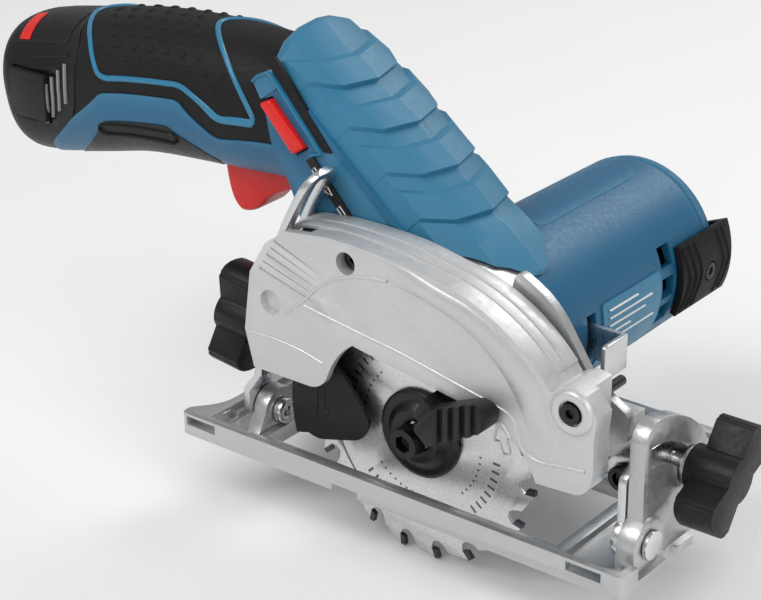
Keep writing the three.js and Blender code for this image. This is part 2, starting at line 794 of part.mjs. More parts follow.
function handleLoft(inset) {
  const rings = handlePath.map(([x, z, halfY, halfZ], i) => {
    const [x0, z0] = handlePath[Math.max(i - 1, 0)];
    const [x1, z1] = handlePath[Math.min(i + 1, handlePath.length - 1)];
    const lean = Math.atan2(z0 - z1, x0 - x1);
    return handleRing(x, z, halfY - inset, halfZ - inset, lean);
  });
  return loft(rings.reverse());
}

// The hood runs down a slope. Its places are given as (s, n): the way down the ridge and the height off it.
const hood = { from: [-40, 123], fall: 40.5, middle: 27.5, roofHalf: 19.5, crease: 13.5, edge: -18.5 };
const hoodSteps = [5.5, 24.2, 42.2, 59.3];
const stepDepth = 1.5;

function onSlope(s, n) {
  const [cos, sin] = [Math.cos(radians(hood.fall)), Math.sin(radians(hood.fall))];
  return [hood.from[0] + s * cos + n * sin, hood.from[1] - s * sin + n * cos];
}

// Along the middle the roof is slightly crowned; it falls off towards the sides, more so further down.
const crown = (s) => 1.4 - 0.0019 * (s - 50) ** 2;
function roofDrop(out, s) {
  const { crease } = hood;
  const fall = out < crease ? (1.3 * out) / crease : 1.3 + (out - crease) * 0.5;
  return fall * (1 + Math.max(s, 0) / 50);
}

// The steps are V-shaped, so their edges lie further up the slope away from the middle.
const stepLag = (out) => (out < hood.crease ? -0.21 * out : -2.8 - (out - hood.crease) * 1.15);

function hoodRing(side, out, inset) {
  const roofAt = (s, level) => onSlope(s, crown(s) - roofDrop(out, s) + level - inset);
  const flat = [onSlope(-19.5 + inset, hood.edge), onSlope(-20 + inset, -12), roofAt(-20 + inset, -2.6)];
  flat.push(roofAt(-17 + inset, -stepDepth));
  for (const step of hoodSteps) {
    const s = step + stepLag(out);
    flat.push(roofAt(s - 11.5, -stepDepth), roofAt(s - 9.5, 0), roofAt(s - 0.2, 0), roofAt(s + 0.2, -stepDepth));
  }
  flat.push(roofAt(83 - inset, -stepDepth), onSlope(83 - inset, -14), onSlope(70, hood.edge));
  return flat.map(([x, z]) => new THREE.Vector3(x, hood.middle + side * (out - inset), z));
}

function hoodRoof(inset) {
  const { roofHalf, crease } = hood;
  const near = [roofHalf, crease, 0].map((out) => hoodRing(-1, Math.max(out, inset), inset));
  const far = [crease, roofHalf].map((out) => hoodRing(1, out, inset));
  return loft([...near, ...far]);
}

// The flat-sided block under the roof.
function hoodBlock(inset) {
  const { middle: centre, edge } = hood;
  const span = [middle - bodyHalf + inset, centre * 2 - middle + bodyHalf - inset];
  const shape = outline([
    [-49 + inset, 70 + inset],
    [-55 + inset, 86 + inset],
    [-62 + inset, 97],
    [-66.5 + inset, 116, 3],
    onSlope(-18.5 + inset, edge + 5 - inset),
    onSlope(79 - inset, edge + 5 - inset),
    [20, 56],
    [-20, 56],
  ]);
  return join(plate("y", shape, span), hoodRoof(inset));
}

const lockOff = { y: middle - bodyHalf, outline: [[-65, 110.5], [-60.6, 112.6], [-47.6, 99.6], [-52, 96.6]] };
const triggerShape = () => {
  const shape = new THREE.Shape();
  shape.moveTo(-93, 89);
  shape.lineTo(-92.6, 79);
  shape.quadraticCurveTo(-91, 66.5, -86, 65.4);
  shape.quadraticCurveTo(-80, 65.6, -76, 71);
  shape.quadraticCurveTo(-70, 76.5, -60.6, 78.6);
  shape.lineTo(-58, 89);
  shape.closePath();
  return shape;
};

const shells = (() => {
  const outer = join(handleLoft(0), hoodBlock(0));
  const { wall, mouth } = handle;
  const inner = join(handleLoft(wall), hoodBlock(wall));
  const mouthOpen = box([mouth - 10, mouth + 4], [0, 60], [60, 130]);
  const barrelRoom = join(
    rod("y", centreOf(motor), motor.radius + 0.5 + GAP, [-20, 130], 40),
    box([-34, 40], [-20, 60], [20, 68]),
  );
  const pocketOpen = box([-46, 24], [middle - bodyHalf + wall, middle + bodyHalf - wall], [50, 72]);
  const shell = cut(outer, inner, mouthOpen, barrelRoom, pocketOpen);
  const triggerWay = box([-94.2, -57.2], [middle - 7.4, middle + 7.4], [62, 92]);
  const button = plate("y", outline(lockOff.outline), [-10, 20]);
  const shifts = [[0.5, 0], [-0.5, 0], [0, 0.5], [0, -0.5]];
  const buttonWay = join(...shifts.map(([x, z]) => button.translate([x, 0, z])));
  const [screwX, , screwZ] = guardScrewPoints[1];
  const screwWay = rod("y", [screwX, screwZ], 1.9, [0, 15], 16);
  const window = plate("y", outline([[-48, 95], [-44.6, 97], [-29, 80.6], [-32.6, 78.4]]), [0, 6.2]);
  return cut(shell, triggerWay, buttonWay, window, screwWay);
})();

function bodyShell(side) {
  const span = side < 0 ? [-20, middle - GAP / 2] : [middle + GAP / 2, 80];
  const half = common(shells, box([-200, 60], span, [40, 150]));
  return half.decompose().sort((a, b) => b.volume() - a.volume())[0];
}

// A soft skin over the handle on one side, standing just clear of the shell.
function gripSkin(side) {
  const skin = cut(handleLoft(-1.3), handleLoft(-GAP));
  const patch = plate(
    "y",
    outline([
      [-147, 122],
      [-147, 96, 2],
      [-138, 88, 3],
      [-118, 88, 3],
      [-104, 97, 4],
      [-84, 100, 3],
      [-78, 122, 2],
    ]),
    side < 0 ? [-10, middle - 1] : [middle + 1, 60],
  );
  return common(skin, patch);
}

const motorWall = 2.6;
const swell = 0.5; // how much the barrel widens halfway along

function motorHousing() {
  const { radius, y } = motor;
  const centre = centreOf(motor);
  const inner = radius - motorWall;
  const barrel = turned(
    centre,
    [[inner, y[1]], [radius, y[1]], [radius + swell, 70], [radius, y[0]], [inner, y[0]]],
    44,
  );
  const snoutRoom = join(
    box([-23.5, 23.5], [y[0] - 1, 30.5], [0, 37.5]),
    rod("y", centreOf(idler), idler.room + 2.4, [y[0] - 1, cupEnd + 3.4], 24),
  );
  const vents = [20, -1, -20, 160, 181, 200].map((angle) =>
    plate("y", sector(centre, 20, 40, angle - 7, angle + 7), [81.6, 88.4], 2),
  );
  const leverSlot = plate("y", sector(centre, 20, 40, -54, 12), [39, 43.6], 6);
  return cut(barrel, snoutRoom, ...vents, leverSlot);
}

const bumperAngles = { front: [-24, 22], rear: [158, 204] };

function motorEndCap() {
  const centre = centreOf(motor);
  const { radius, y, end } = motor;
  const rim = cone("y", centre, radius, radius - 4.5, [y[1] + GAP, end - 0.4], 44);
  const room = rod("y", centre, radius - 7.5, [y[1], end - 4], 28);
  const shaftSeat = ring("y", centre, 5.2, 2, [102.5, end - 3.6], 24);
  return join(cut(rim, room), shaftSeat);
}

const bumperScrewY = 107;
const bumperSide = ([from]) => (from < 90 ? 1 : -1);
const bumperScrewZ = motor.z - 2;

// A span along X measured outwards from the motor's middle, on the front or rear side.
function outwards(side, from, to) {
  const ends = [motor.x + side * from, motor.x + side * to];
  return ends[0] < ends[1] ? ends : ends.reverse();
}

// A rubber block wrapped round the barrel's end, fixed by one screw in its side.
function bumper(angles) {
  const centre = centreOf(motor);
  const [from, to] = angles;
  const { radius, end } = motor;
  const outer = radius + 3;
  const side = plate("y", sector(centre, radius + 0.5 + GAP, outer, from, to), [90, end + 1], 8);
  const endPad = plate("y", sector(centre, 17, outer, from, to), [end - 0.1, end + 2], 8);
  const at = [bumperScrewY, bumperScrewZ];
  const hole = rod("x", at, 1.9, outwards(bumperSide(angles), 24, 36), 12);
  const sink = rod("x", at, 3.4, outwards(bumperSide(angles), radius + 1.8, 36), 16);
  return cut(join(side, endPad), hole, sink);
}

function bumperScrew(angles) {
  const at = [bumperScrewY, bumperScrewZ];
  const { radius } = motor;
  const side = bumperSide(angles);
  const head = rod("x", at, 3, outwards(side, radius + 2, radius + 3), 20);
  const shank = rod("x", at, 1.6, outwards(side, radius + 0.7, radius + 2.1), 12);
  return cut(join(head, shank), hexSocket("x", at, 2.4, outwards(side, radius + 2.4, radius + 5)));
}

// A bent plate: one leg reaches out of the barrel, the other is the thumb pad, turned towards the blade.
function spindleLockLever() {
  const leg = box([26.3, 45.4], [40.3, 42], [38.6, 50]);
  const pad = plate("x", outline([[29.5, 38.6, 2], [42, 38.6], [42, 50], [29.5, 50, 2]]), [43.8, 45.4]);
  return join(leg, pad);
}

function chargeIndicator() {
  const face = middle - bodyHalf;
  return plate(
    "y",
    outline([[-47.4, 95], [-44.5, 96.6], [-29.6, 80.7], [-32.5, 78.8]]),
    [face - 0.1, face + 1],
  );
}

function ratingLabel() {
  return plate("y", sector(centreOf(motor), motor.radius + 0.9, motor.radius + 1.3, -30, 18), [48, 80], 12);
}

function trigger() {
  return plate("y", triggerShape(), [middle - 6.9, middle + 6.9], 8);
}

function lockOffButton() {
  const face = plate("y", outline(lockOff.outline), [lockOff.y - 2.4, lockOff.y + 6]);
  return face;
}

function switchModule() {
  return box([-90, -64], [middle - 9, middle + 9], [93.5, 112]);
}

function terminalBlock() {
  return box([-112, -96], [middle - 7, middle + 7], [92, 106]);
}

// ---------- battery ----------
const batteryPath = [
  [-150.4, 95.3, 22.8, 23.4],
  [-172, 90.9, 23, 23.6],
  [-178, 89.7, 21.4, 22],
  [-181, 89.1, 17, 17.6],
];

// The straight stem that slides into the handle's mouth.
const stemPath = [
  [-152, 95, 20, 20.2],
  [-116, 102.2, 18.9, 18.4],
];

function batteryCase() {
  const lean = Math.atan2(1, 5);
  const rings = batteryPath.map(([x, z, y, up]) => handleRing(x, z, y, up, lean)).reverse();
  const cap = loft(rings);
  const stem = loft(stemPath.map(([x, z, y, up]) => handleRing(x, z, y, up, lean)));
  const bridge = box([-153, -148], [middle - 12, middle + 12], [84, 106]);
  const cells = cellCentres.map(([y, z]) => cellRoom(y, z));
  const tabs = [-1, 1].map((side) => tabBlock(side, 0.5, 1.8));
  return cut(join(cap, stem, bridge), ...cells, ...tabs);
}

const cellCentres = [
  [middle - 8.8, 90.4],
  [middle + 8.8, 90.4],
  [middle, 105.6],
];

function cellBody(y, z, radius, reach) {
  const lean = new THREE.Matrix4()
    .makeTranslation(-147, y, z)
    .multiply(new THREE.Matrix4().makeRotationY(-Math.atan2(1, 5.4)));
  return rod("x", [0, 0], radius, reach, 20).transform(lean.elements);
}
const cellRoom = (y, z) => cellBody(y, z, 8.5, [-26, 45]);
const batteryCell = ([y, z]) => cellBody(y, z, 8.2, [-25, 28]);

function tabBlock(side, grow, travel) {
  const inner = middle + side * (20 - grow - travel);
  const outer = middle + side * (24.4 + grow);
  const y = side < 0 ? [outer, inner] : [inner, outer];
  return box([-172 - grow, -156 + grow], y, [85 - grow, 101 + grow]);
}

const releaseTab = (side) => tabBlock(side, 0, 0);

// ---------- assembly ----------
const saw = new THREE.Group();
saw.name = "circular_saw";

function place(name, solid, look) {
  const mesh = solid.getMesh();
  const geometry = new THREE.BufferGeometry();
  const count = mesh.numVert;
  const positions = new Float32Array(count * 3);
  for (let i = 0; i < count; i++) {
    for (let k = 0; k < 3; k++) positions[i * 3 + k] = mesh.vertProperties[i * mesh.numProp + k];
  }
  geometry.setAttribute("position", new THREE.BufferAttribute(positions, 3));
  geometry.setIndex(new THREE.BufferAttribute(Uint32Array.from(mesh.triVerts), 1));
  geometry.translate(0, -datumY, 0);
  geometry.computeVertexNormals();
  const piece = new THREE.Mesh(geometry, new THREE.MeshStandardMaterial({ ...look }));
  piece.name = name;
  saw.add(piece);
}

place("base_plate", basePlate(), CAST);
place("bevel_rivet", bevelRivet(), STEEL);
place("bevel_screw_rear", bevelScrewRear(), STEEL);
place("pivot_bracket", pivotBracket(), STEEL);
place("depth_guide", depthGuide(), STEEL);
place("bevel_clamp_screw", bevelClampScrew(), STEEL);
place("bevel_wing_knob", bevelWingKnob(), BLACK);
place("bevel_washer", bevelWasher(), STEEL);
place("gear_housing", gearHousing(), CAST);
place("gear_cover", gearCover(), CAST);
place("upper_guard", upperGuard(), PAINT);
place("depth_pivot_bolt", depthPivotBolt(), DARK_STEEL);
place("guard_screw_front", guardScrew(guardScrewPoints[0]), DARK_STEEL);
place("guard_screw_top", guardScrew(guardScrewPoints[1]), DARK_STEEL);
place("depth_clamp_stud", depthClampStud(), STEEL);
place("depth_washer", depthWasher(), STEEL);
place("depth_wing_knob", depthWingKnob(), BLACK);
place("lower_guard", lowerGuardShell(), BLACK);
place("guard_lever", guardLever(), BLACK);
place("guard_spring", lowerGuardSpring(), STEEL);
place("spindle_shaft", spindleShaft(), STEEL);
place("spindle_gear", spindleGear(), STEEL);
place("inner_flange", innerFlange(), DARK_STEEL);
place("saw_blade", sawBlade(), STEEL);
place("outer_flange", outerFlange(), DARK_STEEL);
place("blade_bolt", bladeBolt(), STEEL);
place("spindle_bearing_front", bearing(spindle, 8.9, spindle.r + GAP, [10.3, 16]), STEEL);
place("spindle_bearing_rear", bearing(spindle, 7, spindle.r + GAP, [24.2, 27.6]), STEEL);
place("idler_shaft", idlerShaft(), STEEL);
place("idler_gear", idlerGear(), STEEL);
place("motor_shaft", motorShaft(), STEEL);
place("motor_pinion", motorPinion(), STEEL);
place("armature", armature(), COPPER);
place("commutator", commutator(), COPPER);
place("cooling_fan", coolingFan(), BLACK);
place("motor_can", motorCan(), STEEL);
place("body_shell_right", bodyShell(-1), BLUE);
place("body_shell_left", bodyShell(1), BLUE);
place("grip_right", gripSkin(-1), RUBBER);
place("grip_left", gripSkin(1), RUBBER);
place("motor_housing", motorHousing(), BLUE);
place("motor_end_cap", motorEndCap(), BLUE);
place("bumper_front", bumper(bumperAngles.front), RUBBER);
place("bumper_rear", bumper(bumperAngles.rear), RUBBER);
place("bumper_screw_front", bumperScrew(bumperAngles.front), DARK_STEEL);
place("bumper_screw_rear", bumperScrew(bumperAngles.rear), DARK_STEEL);
place("rating_label", ratingLabel(), BLUE);
place("spindle_lock_lever", spindleLockLever(), STEEL);
place("charge_indicator", chargeIndicator(), BLACK);
place("trigger", trigger(), RED);
place("lock_off_button", lockOffButton(), RED);
place("switch_module", switchModule(), BLACK);
place("terminal_block", terminalBlock(), WHITE);
place("battery_case", batteryCase(), BLACK);
cellCentres.forEach((at, i) => place(`battery_cell_${i + 1}`, batteryCell(at), STEEL));
place("battery_tab_right", releaseTab(-1), BLACK);
place("battery_tab_left", releaseTab(1), BLACK);

export default saw;
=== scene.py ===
"""Looks for a compact cordless circular saw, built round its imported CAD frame.

Shapes are worked out in millimetres from the blade's middle plane (y = 0), the blade's axis (x = 0)
and the sole (z = 0), and are moved into the frame's metres when a piece is made.
"""

import json
import math

import bmesh
import bpy
from mathutils import Matrix, Vector


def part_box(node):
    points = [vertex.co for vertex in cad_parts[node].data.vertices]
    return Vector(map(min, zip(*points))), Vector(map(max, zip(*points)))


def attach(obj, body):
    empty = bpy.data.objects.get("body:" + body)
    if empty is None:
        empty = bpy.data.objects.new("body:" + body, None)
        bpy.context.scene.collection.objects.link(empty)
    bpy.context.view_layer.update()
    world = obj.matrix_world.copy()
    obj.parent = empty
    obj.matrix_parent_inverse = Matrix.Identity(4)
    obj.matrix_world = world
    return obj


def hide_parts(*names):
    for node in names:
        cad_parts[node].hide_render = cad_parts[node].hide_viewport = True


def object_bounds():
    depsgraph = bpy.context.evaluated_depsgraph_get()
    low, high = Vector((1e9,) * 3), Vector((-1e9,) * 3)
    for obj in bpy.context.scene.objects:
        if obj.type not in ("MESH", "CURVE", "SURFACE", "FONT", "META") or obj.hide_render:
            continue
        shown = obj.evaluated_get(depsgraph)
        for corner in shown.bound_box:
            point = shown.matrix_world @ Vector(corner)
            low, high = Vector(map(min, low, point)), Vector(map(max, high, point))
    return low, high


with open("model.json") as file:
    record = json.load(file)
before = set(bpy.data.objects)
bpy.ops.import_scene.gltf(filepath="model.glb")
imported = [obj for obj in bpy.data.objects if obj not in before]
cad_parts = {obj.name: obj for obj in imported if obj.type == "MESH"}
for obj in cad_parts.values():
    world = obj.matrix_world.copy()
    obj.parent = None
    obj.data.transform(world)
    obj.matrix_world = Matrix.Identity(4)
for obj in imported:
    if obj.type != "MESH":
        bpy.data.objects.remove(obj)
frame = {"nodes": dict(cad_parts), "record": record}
cad_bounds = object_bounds()

MM = 0.001
blade_low, blade_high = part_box("saw_blade")
BLADE_Y = (blade_low.y + blade_high.y) / 2
SPINDLE_Z = (blade_low.z + blade_high.z) / 2 / MM
SPINDLE = (0.0, SPINDLE_Z)
MOTOR = (4.4, 46.9)  # x and z of the motor's axis
MOTOR_RADIUS = 28.5
MOTOR_NEAR, MOTOR_FAR, MOTOR_END = 22, 110, 118  # y of the barrel's two ends and of its cap's end
MIDDLE = 24.0  # y of the plastic body's parting plane
GUARD = (5.3, 17.0)  # x and z of the centre of the upper guard's round edge
GUARD_RADIUS = 61.5
GUARD_FACE = -12.0  # y of the upper guard's flat face
LOWER_GUARD_FACE = -6.0  # y of the lower guard's flat face
GUARD_SCREW = (61.2, 50.7)  # x and z of the screw at the upper guard's front


def to_frame(x, y, z):
    """A place in the script's millimetres as a place in the frame's metres."""
    return Vector((x * MM, BLADE_Y + y * MM, z * MM))


# ---------- materials ----------
class Nodes:
    """A material's node tree with short ways to add and join nodes."""

    def __init__(self, name):
        self.material = bpy.data.materials.new(name)
        self.material.use_nodes = True
        self.tree = self.material.node_tree
        self.shader = self.tree.nodes["Principled BSDF"]
        self.coordinates = self.add("ShaderNodeTexCoord").outputs["Object"]

    def add(self, kind, **values):
        node = self.tree.nodes.new(kind)
        for key, value in values.items():
            setattr(node, key, value)
        return node

    def link(self, source, target):
        self.tree.links.new(source, target)

    def noise(self, scale, detail=2.0, stretch=(1, 1, 1), roughness=0.5):
        mapping = self.add("ShaderNodeMapping")
        mapping.inputs["Scale"].default_value = stretch
        self.link(self.coordinates, mapping.inputs["Vector"])
        node = self.add("ShaderNodeTexNoise")
        node.inputs["Scale"].default_value = scale
        node.inputs["Detail"].default_value = detail
        node.inputs["Roughness"].default_value = roughness
        self.link(mapping.outputs["Vector"], node.inputs["Vector"])
        return node.outputs["Fac"]

    def ramp(self, value, low, high, start, end):
        """The value between low and high, spread from start to end."""
        node = self.add("ShaderNodeMapRange")
        node.inputs["From Min"].default_value = low
        node.inputs["From Max"].default_value = high
        node.inputs["To Min"].default_value = start
        node.inputs["To Max"].default_value = end
        self.link(value, node.inputs["Value"])
        return node.outputs["Result"]

    def math(self, operation, a, b=0.0):
        node = self.add("ShaderNodeMath", operation=operation)
        for socket, value in zip(node.inputs, (a, b)):
            if isinstance(value, (int, float)):
                socket.default_value = value
            else:
                self.link(value, socket)
        return node.outputs["Value"]

    def mix(self, factor, a, b):
        node = self.add("ShaderNodeMix", data_type="RGBA")
        self.link(factor, node.inputs["Factor"])
        for socket, value in ((node.inputs[6], a), (node.inputs[7], b)):
            if isinstance(value, tuple):
                socket.default_value = (*value, 1)
            else:
                self.link(value, socket)
        return node.outputs[2]

    def bump(self, height, distance, strength=1.0, after=None):
        node = self.add("ShaderNodeBump")
        node.inputs["Distance"].default_value = distance
        node.inputs["Strength"].default_value = strength
        self.link(height, node.inputs["Height"])
        if after is not None:
            self.link(after, node.inputs["Normal"])
        return node.outputs["Normal"]

    def edges(self):
        """Near 1 on outer edges and near 0 elsewhere."""
        pointiness = self.add("ShaderNodeNewGeometry").outputs["Pointiness"]
        return self.ramp(pointiness, 0.52, 0.6, 0.0, 1.0)


def plain_numbers(shader, metallic, specular=0.5, coat=0.0, coat_roughness=0.1):
    """The shader's numbers that no texture changes."""
    shader.inputs["Metallic"].default_value = metallic
    shader.inputs["Specular IOR Level"].default_value = specular
    shader.inputs["Coat Weight"].default_value = coat
    shader.inputs["Coat Roughness"].default_value = coat_roughness


def moulded(name, colour, roughness, grain, worn=None, specular=0.5):
    """Moulded plastic or rubber: a fine spark-eroded grain over a slow change of tone."""
    n = Nodes(name)
    plain_numbers(n.shader, 0.0, specular)
    tone = n.noise(35, 3)
    dark = tuple(c * 0.86 for c in colour)
    light = tuple(min(1.0, c * 1.1 + 0.002) for c in colour)
    body = n.mix(tone, dark, light)
    speck = n.ramp(n.noise(2600, 2), 0.35, 0.7, 0.0, 1.0)
    body = n.mix(n.math("MULTIPLY", speck, 0.2), body, tuple(min(1.0, c * 1.7 + 0.006) for c in colour))
    if worn:
        body = n.mix(n.math("MULTIPLY", n.edges(), 0.5), body, worn)
    n.link(body, n.shader.inputs["Base Color"])
    sheen = n.ramp(n.noise(700, 3), 0.3, 0.7, roughness - 0.06, roughness + 0.08)
    n.link(sheen, n.shader.inputs["Roughness"])
    n.link(n.bump(n.noise(2300, 3), grain), n.shader.inputs["Normal"])
    return n.material


def cast_metal(name, colour, roughness, metallic, grain=0.00006, coat=0.0):
    """Sprayed or bare die casting: an orange-peel skin, slow stains and brighter edges."""
    n = Nodes(name)
    plain_numbers(n.shader, metallic, 0.5, coat, 0.2)
    tone = n.mix(n.noise(28, 4), tuple(c * 0.9 for c in colour), tuple(min(1.0, c * 1.06) for c in colour))
    flecks = n.ramp(n.noise(3800, 2), 0.45, 0.75, 0.0, 0.35)
    tone = n.mix(flecks, tone, tuple(min(1.0, c * 1.25) for c in colour))
    tone = n.mix(n.math("MULTIPLY", n.edges(), 0.5), tone, tuple(min(1.0, c * 1.2) for c in colour))
    n.link(tone, n.shader.inputs["Base Color"])
    sheen = n.ramp(n.noise(420, 4), 0.3, 0.7, roughness - 0.08, roughness + 0.1)
    n.link(sheen, n.shader.inputs["Roughness"])
    fine = n.bump(n.noise(1500, 4), grain)
    n.link(n.bump(n.noise(160, 3), grain * 2, 0.6, fine), n.shader.inputs["Normal"])
    return n.material


def machined(name, colour, roughness, along=(1, 1, 1), lines=2400):
    """Bare steel with drawn or ground lines, stretched by along."""
    n = Nodes(name)
    plain_numbers(n.shader, 1.0)
    streak = n.noise(lines, 3, along)
    tone = n.mix(streak, tuple(c * 0.82 for c in colour), tuple(min(1.0, c * 1.1) for c in colour))
    tone = n.mix(n.ramp(n.noise(60, 4), 0.5, 0.75, 0.0, 0.3), tone, tuple(c * 0.75 for c in colour))
    n.link(tone, n.shader.inputs["Base Color"])
    n.link(n.ramp(streak, 0.25, 0.75, roughness - 0.08, roughness + 0.14), n.shader.inputs["Roughness"])
    n.link(n.bump(streak, 0.00002), n.shader.inputs["Normal"])
    return n.material


def around(n, centre):
    """Radius in metres and turn from 0 to 1 about a Y axis through centre, as node outputs."""
    spread = n.add("ShaderNodeSeparateXYZ")
    n.link(n.coordinates, spread.inputs[0])
    x = n.math("SUBTRACT", spread.outputs["X"], centre[0] * MM)
    z = n.math("SUBTRACT", spread.outputs["Z"], centre[1] * MM)
    radius = n.math("SQRT", n.math("ADD", n.math("MULTIPLY", x, x), n.math("MULTIPLY", z, z)))
    turn = n.math("ADD", n.math("DIVIDE", n.math("ARCTAN2", z, x), 2 * math.pi), 0.5)
    return radius, turn


def between(n, value, low, high):
    """1 where the value lies between low and high, and 0 elsewhere."""
    return n.math("MULTIPLY", n.math("GREATER_THAN", value, low), n.math("LESS_THAN", value, high))


def blade_steel():
    """Ground saw steel: rings of grinding lines, a grainy bloom and a band of dark printed marks."""
    strokes_round, groups_round = 60, 4
    wide_band, narrow_band = (0.0265, 0.0292), (0.0216, 0.0224)  # radii in metres
    n = Nodes("blade_steel")
    plain_numbers(n.shader, 1.0)
    radius, turn = around(n, SPINDLE)
    rings = n.add("ShaderNodeTexNoise", noise_dimensions="1D")
    rings.inputs["Scale"].default_value = 2200
    rings.inputs["Detail"].default_value = 3
    n.link(radius, rings.inputs["W"])
    bloom = n.noise(1300, 4)
    tone = n.mix(rings.outputs["Fac"], (0.5, 0.51, 0.52), (0.72, 0.73, 0.74))
    tone = n.mix(n.ramp(bloom, 0.35, 0.65, 0.0, 0.55), tone, (0.82, 0.82, 0.83))
    cells = n.math("FRACT", n.math("MULTIPLY", turn, strokes_round))
    groups = n.math("GREATER_THAN", n.math("FRACT", n.math("MULTIPLY", turn, groups_round)), 0.45)
    strokes = n.math("MULTIPLY", between(n, cells, 0.25, 0.55), groups)
    band = n.math("MAXIMUM", between(n, radius, *wide_band), between(n, radius, *narrow_band))
    marks = n.math("MULTIPLY", strokes, band)
    tone = n.mix(n.math("MULTIPLY", marks, 0.85), tone, (0.05, 0.05, 0.05))
    n.link(tone, n.shader.inputs["Base Color"])
    n.link(n.ramp(bloom, 0.3, 0.7, 0.26, 0.44), n.shader.inputs["Roughness"])
    n.link(n.bump(rings.outputs["Fac"], 0.00002, 0.6), n.shader.inputs["Normal"])
    return n.material


CAST = cast_metal("cast_aluminium", (0.5, 0.505, 0.51), 0.36, 0.8)
PAINTED = cast_metal("silver_paint", (0.55, 0.555, 0.56), 0.4, 0.5, 0.00003, 0.1)
STEEL = machined("drawn_steel", (0.66, 0.67, 0.68), 0.26, (1, 1, 0.06))
BRIGHT = machined("turned_steel", (0.74, 0.74, 0.75), 0.2)
DARK = machined("blackened_steel", (0.045, 0.045, 0.048), 0.34)
BLADE = blade_steel()
BLUE = moulded("blue_plastic", (0.005, 0.1, 0.205), 0.44, 0.00005, (0.05, 0.24, 0.38))
BLUE_SMOOTH = moulded("blue_smooth", (0.02, 0.17, 0.3), 0.34, 0.00001)
BLACK = moulded("black_plastic", (0.006, 0.006, 0.0065), 0.4, 0.00005, (0.03, 0.03, 0.03), 0.22)
GUARD_BLACK = moulded("guard_black", (0.008, 0.008, 0.009), 0.48, 0.00008, (0.04, 0.04, 0.04), 0.25)
RUBBER = moulded("soft_rubber", (0.007, 0.007, 0.0075), 0.58, 0.00004, None, 0.22)
RED = moulded("red_plastic", (0.62, 0.007, 0.005), 0.32, 0.00001, (0.8, 0.05, 0.04), 0.35)
WHITE = moulded("white_print", (0.75, 0.75, 0.73), 0.5, 0.00001)
GREY = moulded("grey_print", (0.22, 0.23, 0.24), 0.5, 0.00001)
COPPER = machined("copper", (0.6, 0.28, 0.14), 0.3, (1, 0.1, 1))
CARBIDE = machined("carbide", (0.09, 0.09, 0.1), 0.3)


# ---------- which body each CAD node rides on, and its material slot ----------
behaviour = frame["record"]["behaviour"]
BODY = {node: body for body, nodes in behaviour["bodies"].items() for node in nodes}


# ---------- mesh tools ----------
def smooth_shading(mesh, degrees):
    """Smooth faces, with edges sharper than the angle kept crisp."""
    shape = bmesh.new()
    shape.from_mesh(mesh)
    for face in shape.faces:
        face.smooth = True
    for edge in shape.edges:
        if len(edge.link_faces) == 2:
            edge.smooth = edge.calc_face_angle(0) < math.radians(degrees)
    shape.to_mesh(mesh)
    shape.free()


def piece(name, shape, body, material, smooth=32, nodes=(), in_mm=True):
    """Turns a bmesh into a piece that rides on a body, and frees the bmesh."""
    if in_mm:
        for vertex in shape.verts:
            vertex.co = to_frame(*vertex.co)
    bmesh.ops.recalc_face_normals(shape, faces=shape.faces)
    mesh = bpy.data.meshes.new(name)
    shape.to_mesh(mesh)
    shape.free()
    smooth_shading(mesh, smooth)
    mesh.materials.append(material)
    made = bpy.data.objects.new(name, mesh)
    bpy.context.scene.collection.objects.link(made)
    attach(made, body)
    if nodes:
        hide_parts(*nodes)
    return made


def applied(made):
    """Bakes the modifiers of a piece into its mesh."""
    graph = bpy.context.evaluated_depsgraph_get()
    mesh = bpy.data.meshes.new_from_object(made.evaluated_get(graph))
    made.modifiers.clear()
    made.data = mesh


def rounded(made, width, segments=2, angle=30, smooth=40):
    """Rounds the piece's sharp edges by a width in millimetres."""
    bevel = made.modifiers.new("round", "BEVEL")
    bevel.width = width * MM
    bevel.segments = segments
    bevel.limit_method = "ANGLE"
    bevel.angle_limit = math.radians(angle)
    bevel.use_clamp_overlap = True
    applied(made)
    smooth_shading(made.data, smooth)


def carved(made, cutters):
    """Cuts the cutters out of the piece and throws them away."""
    for cutter in cutters:
        cut = made.modifiers.new("cut", "BOOLEAN")
        cut.operation = "DIFFERENCE"
        cut.solver = "EXACT"
        cut.object = cutter
    applied(made)
    for cutter in cutters:
        bpy.data.objects.remove(cutter)


def fine(node, material, width):
    """The CAD node's shape with its edges rounded, standing for the node."""
    shape = bmesh.new()
    shape.from_mesh(frame["nodes"][node].data)
    bmesh.ops.remove_doubles(shape, verts=shape.verts, dist=0.02 * MM)
    bmesh.ops.dissolve_limit(shape, angle_limit=math.radians(1.5), verts=shape.verts, edges=shape.edges)
    made = piece("fine_" + node, shape, BODY[node], material, 40, (node,), in_mm=False)
    rounded(made, width, segments=2 if width < 0.7 else 3)


def arc(centre, radius, start, end, count):
    """Points on a circle from start to end, in degrees."""
    turns = [math.radians(start + (end - start) * i / count) for i in range(count + 1)]
    return [(centre[0] + radius * math.cos(t), centre[1] + radius * math.sin(t)) for t in turns]


def slab(outline, low, high):
    """An outline of (x, z) points given thickness along y, as a bmesh in millimetres."""
    shape = bmesh.new()
    base = [shape.verts.new((x, low, z)) for x, z in outline]
    top = [shape.verts.new((x, high, z)) for x, z in outline]
    shape.faces.new(base)
    shape.faces.new(top)
    for i in range(len(outline)):
        j = (i + 1) % len(outline)
        shape.faces.new((base[i], base[j], top[j], top[i]))
    return shape


NEAR_AXIS = 0.01  # a turned profile's smallest radius, in place of 0


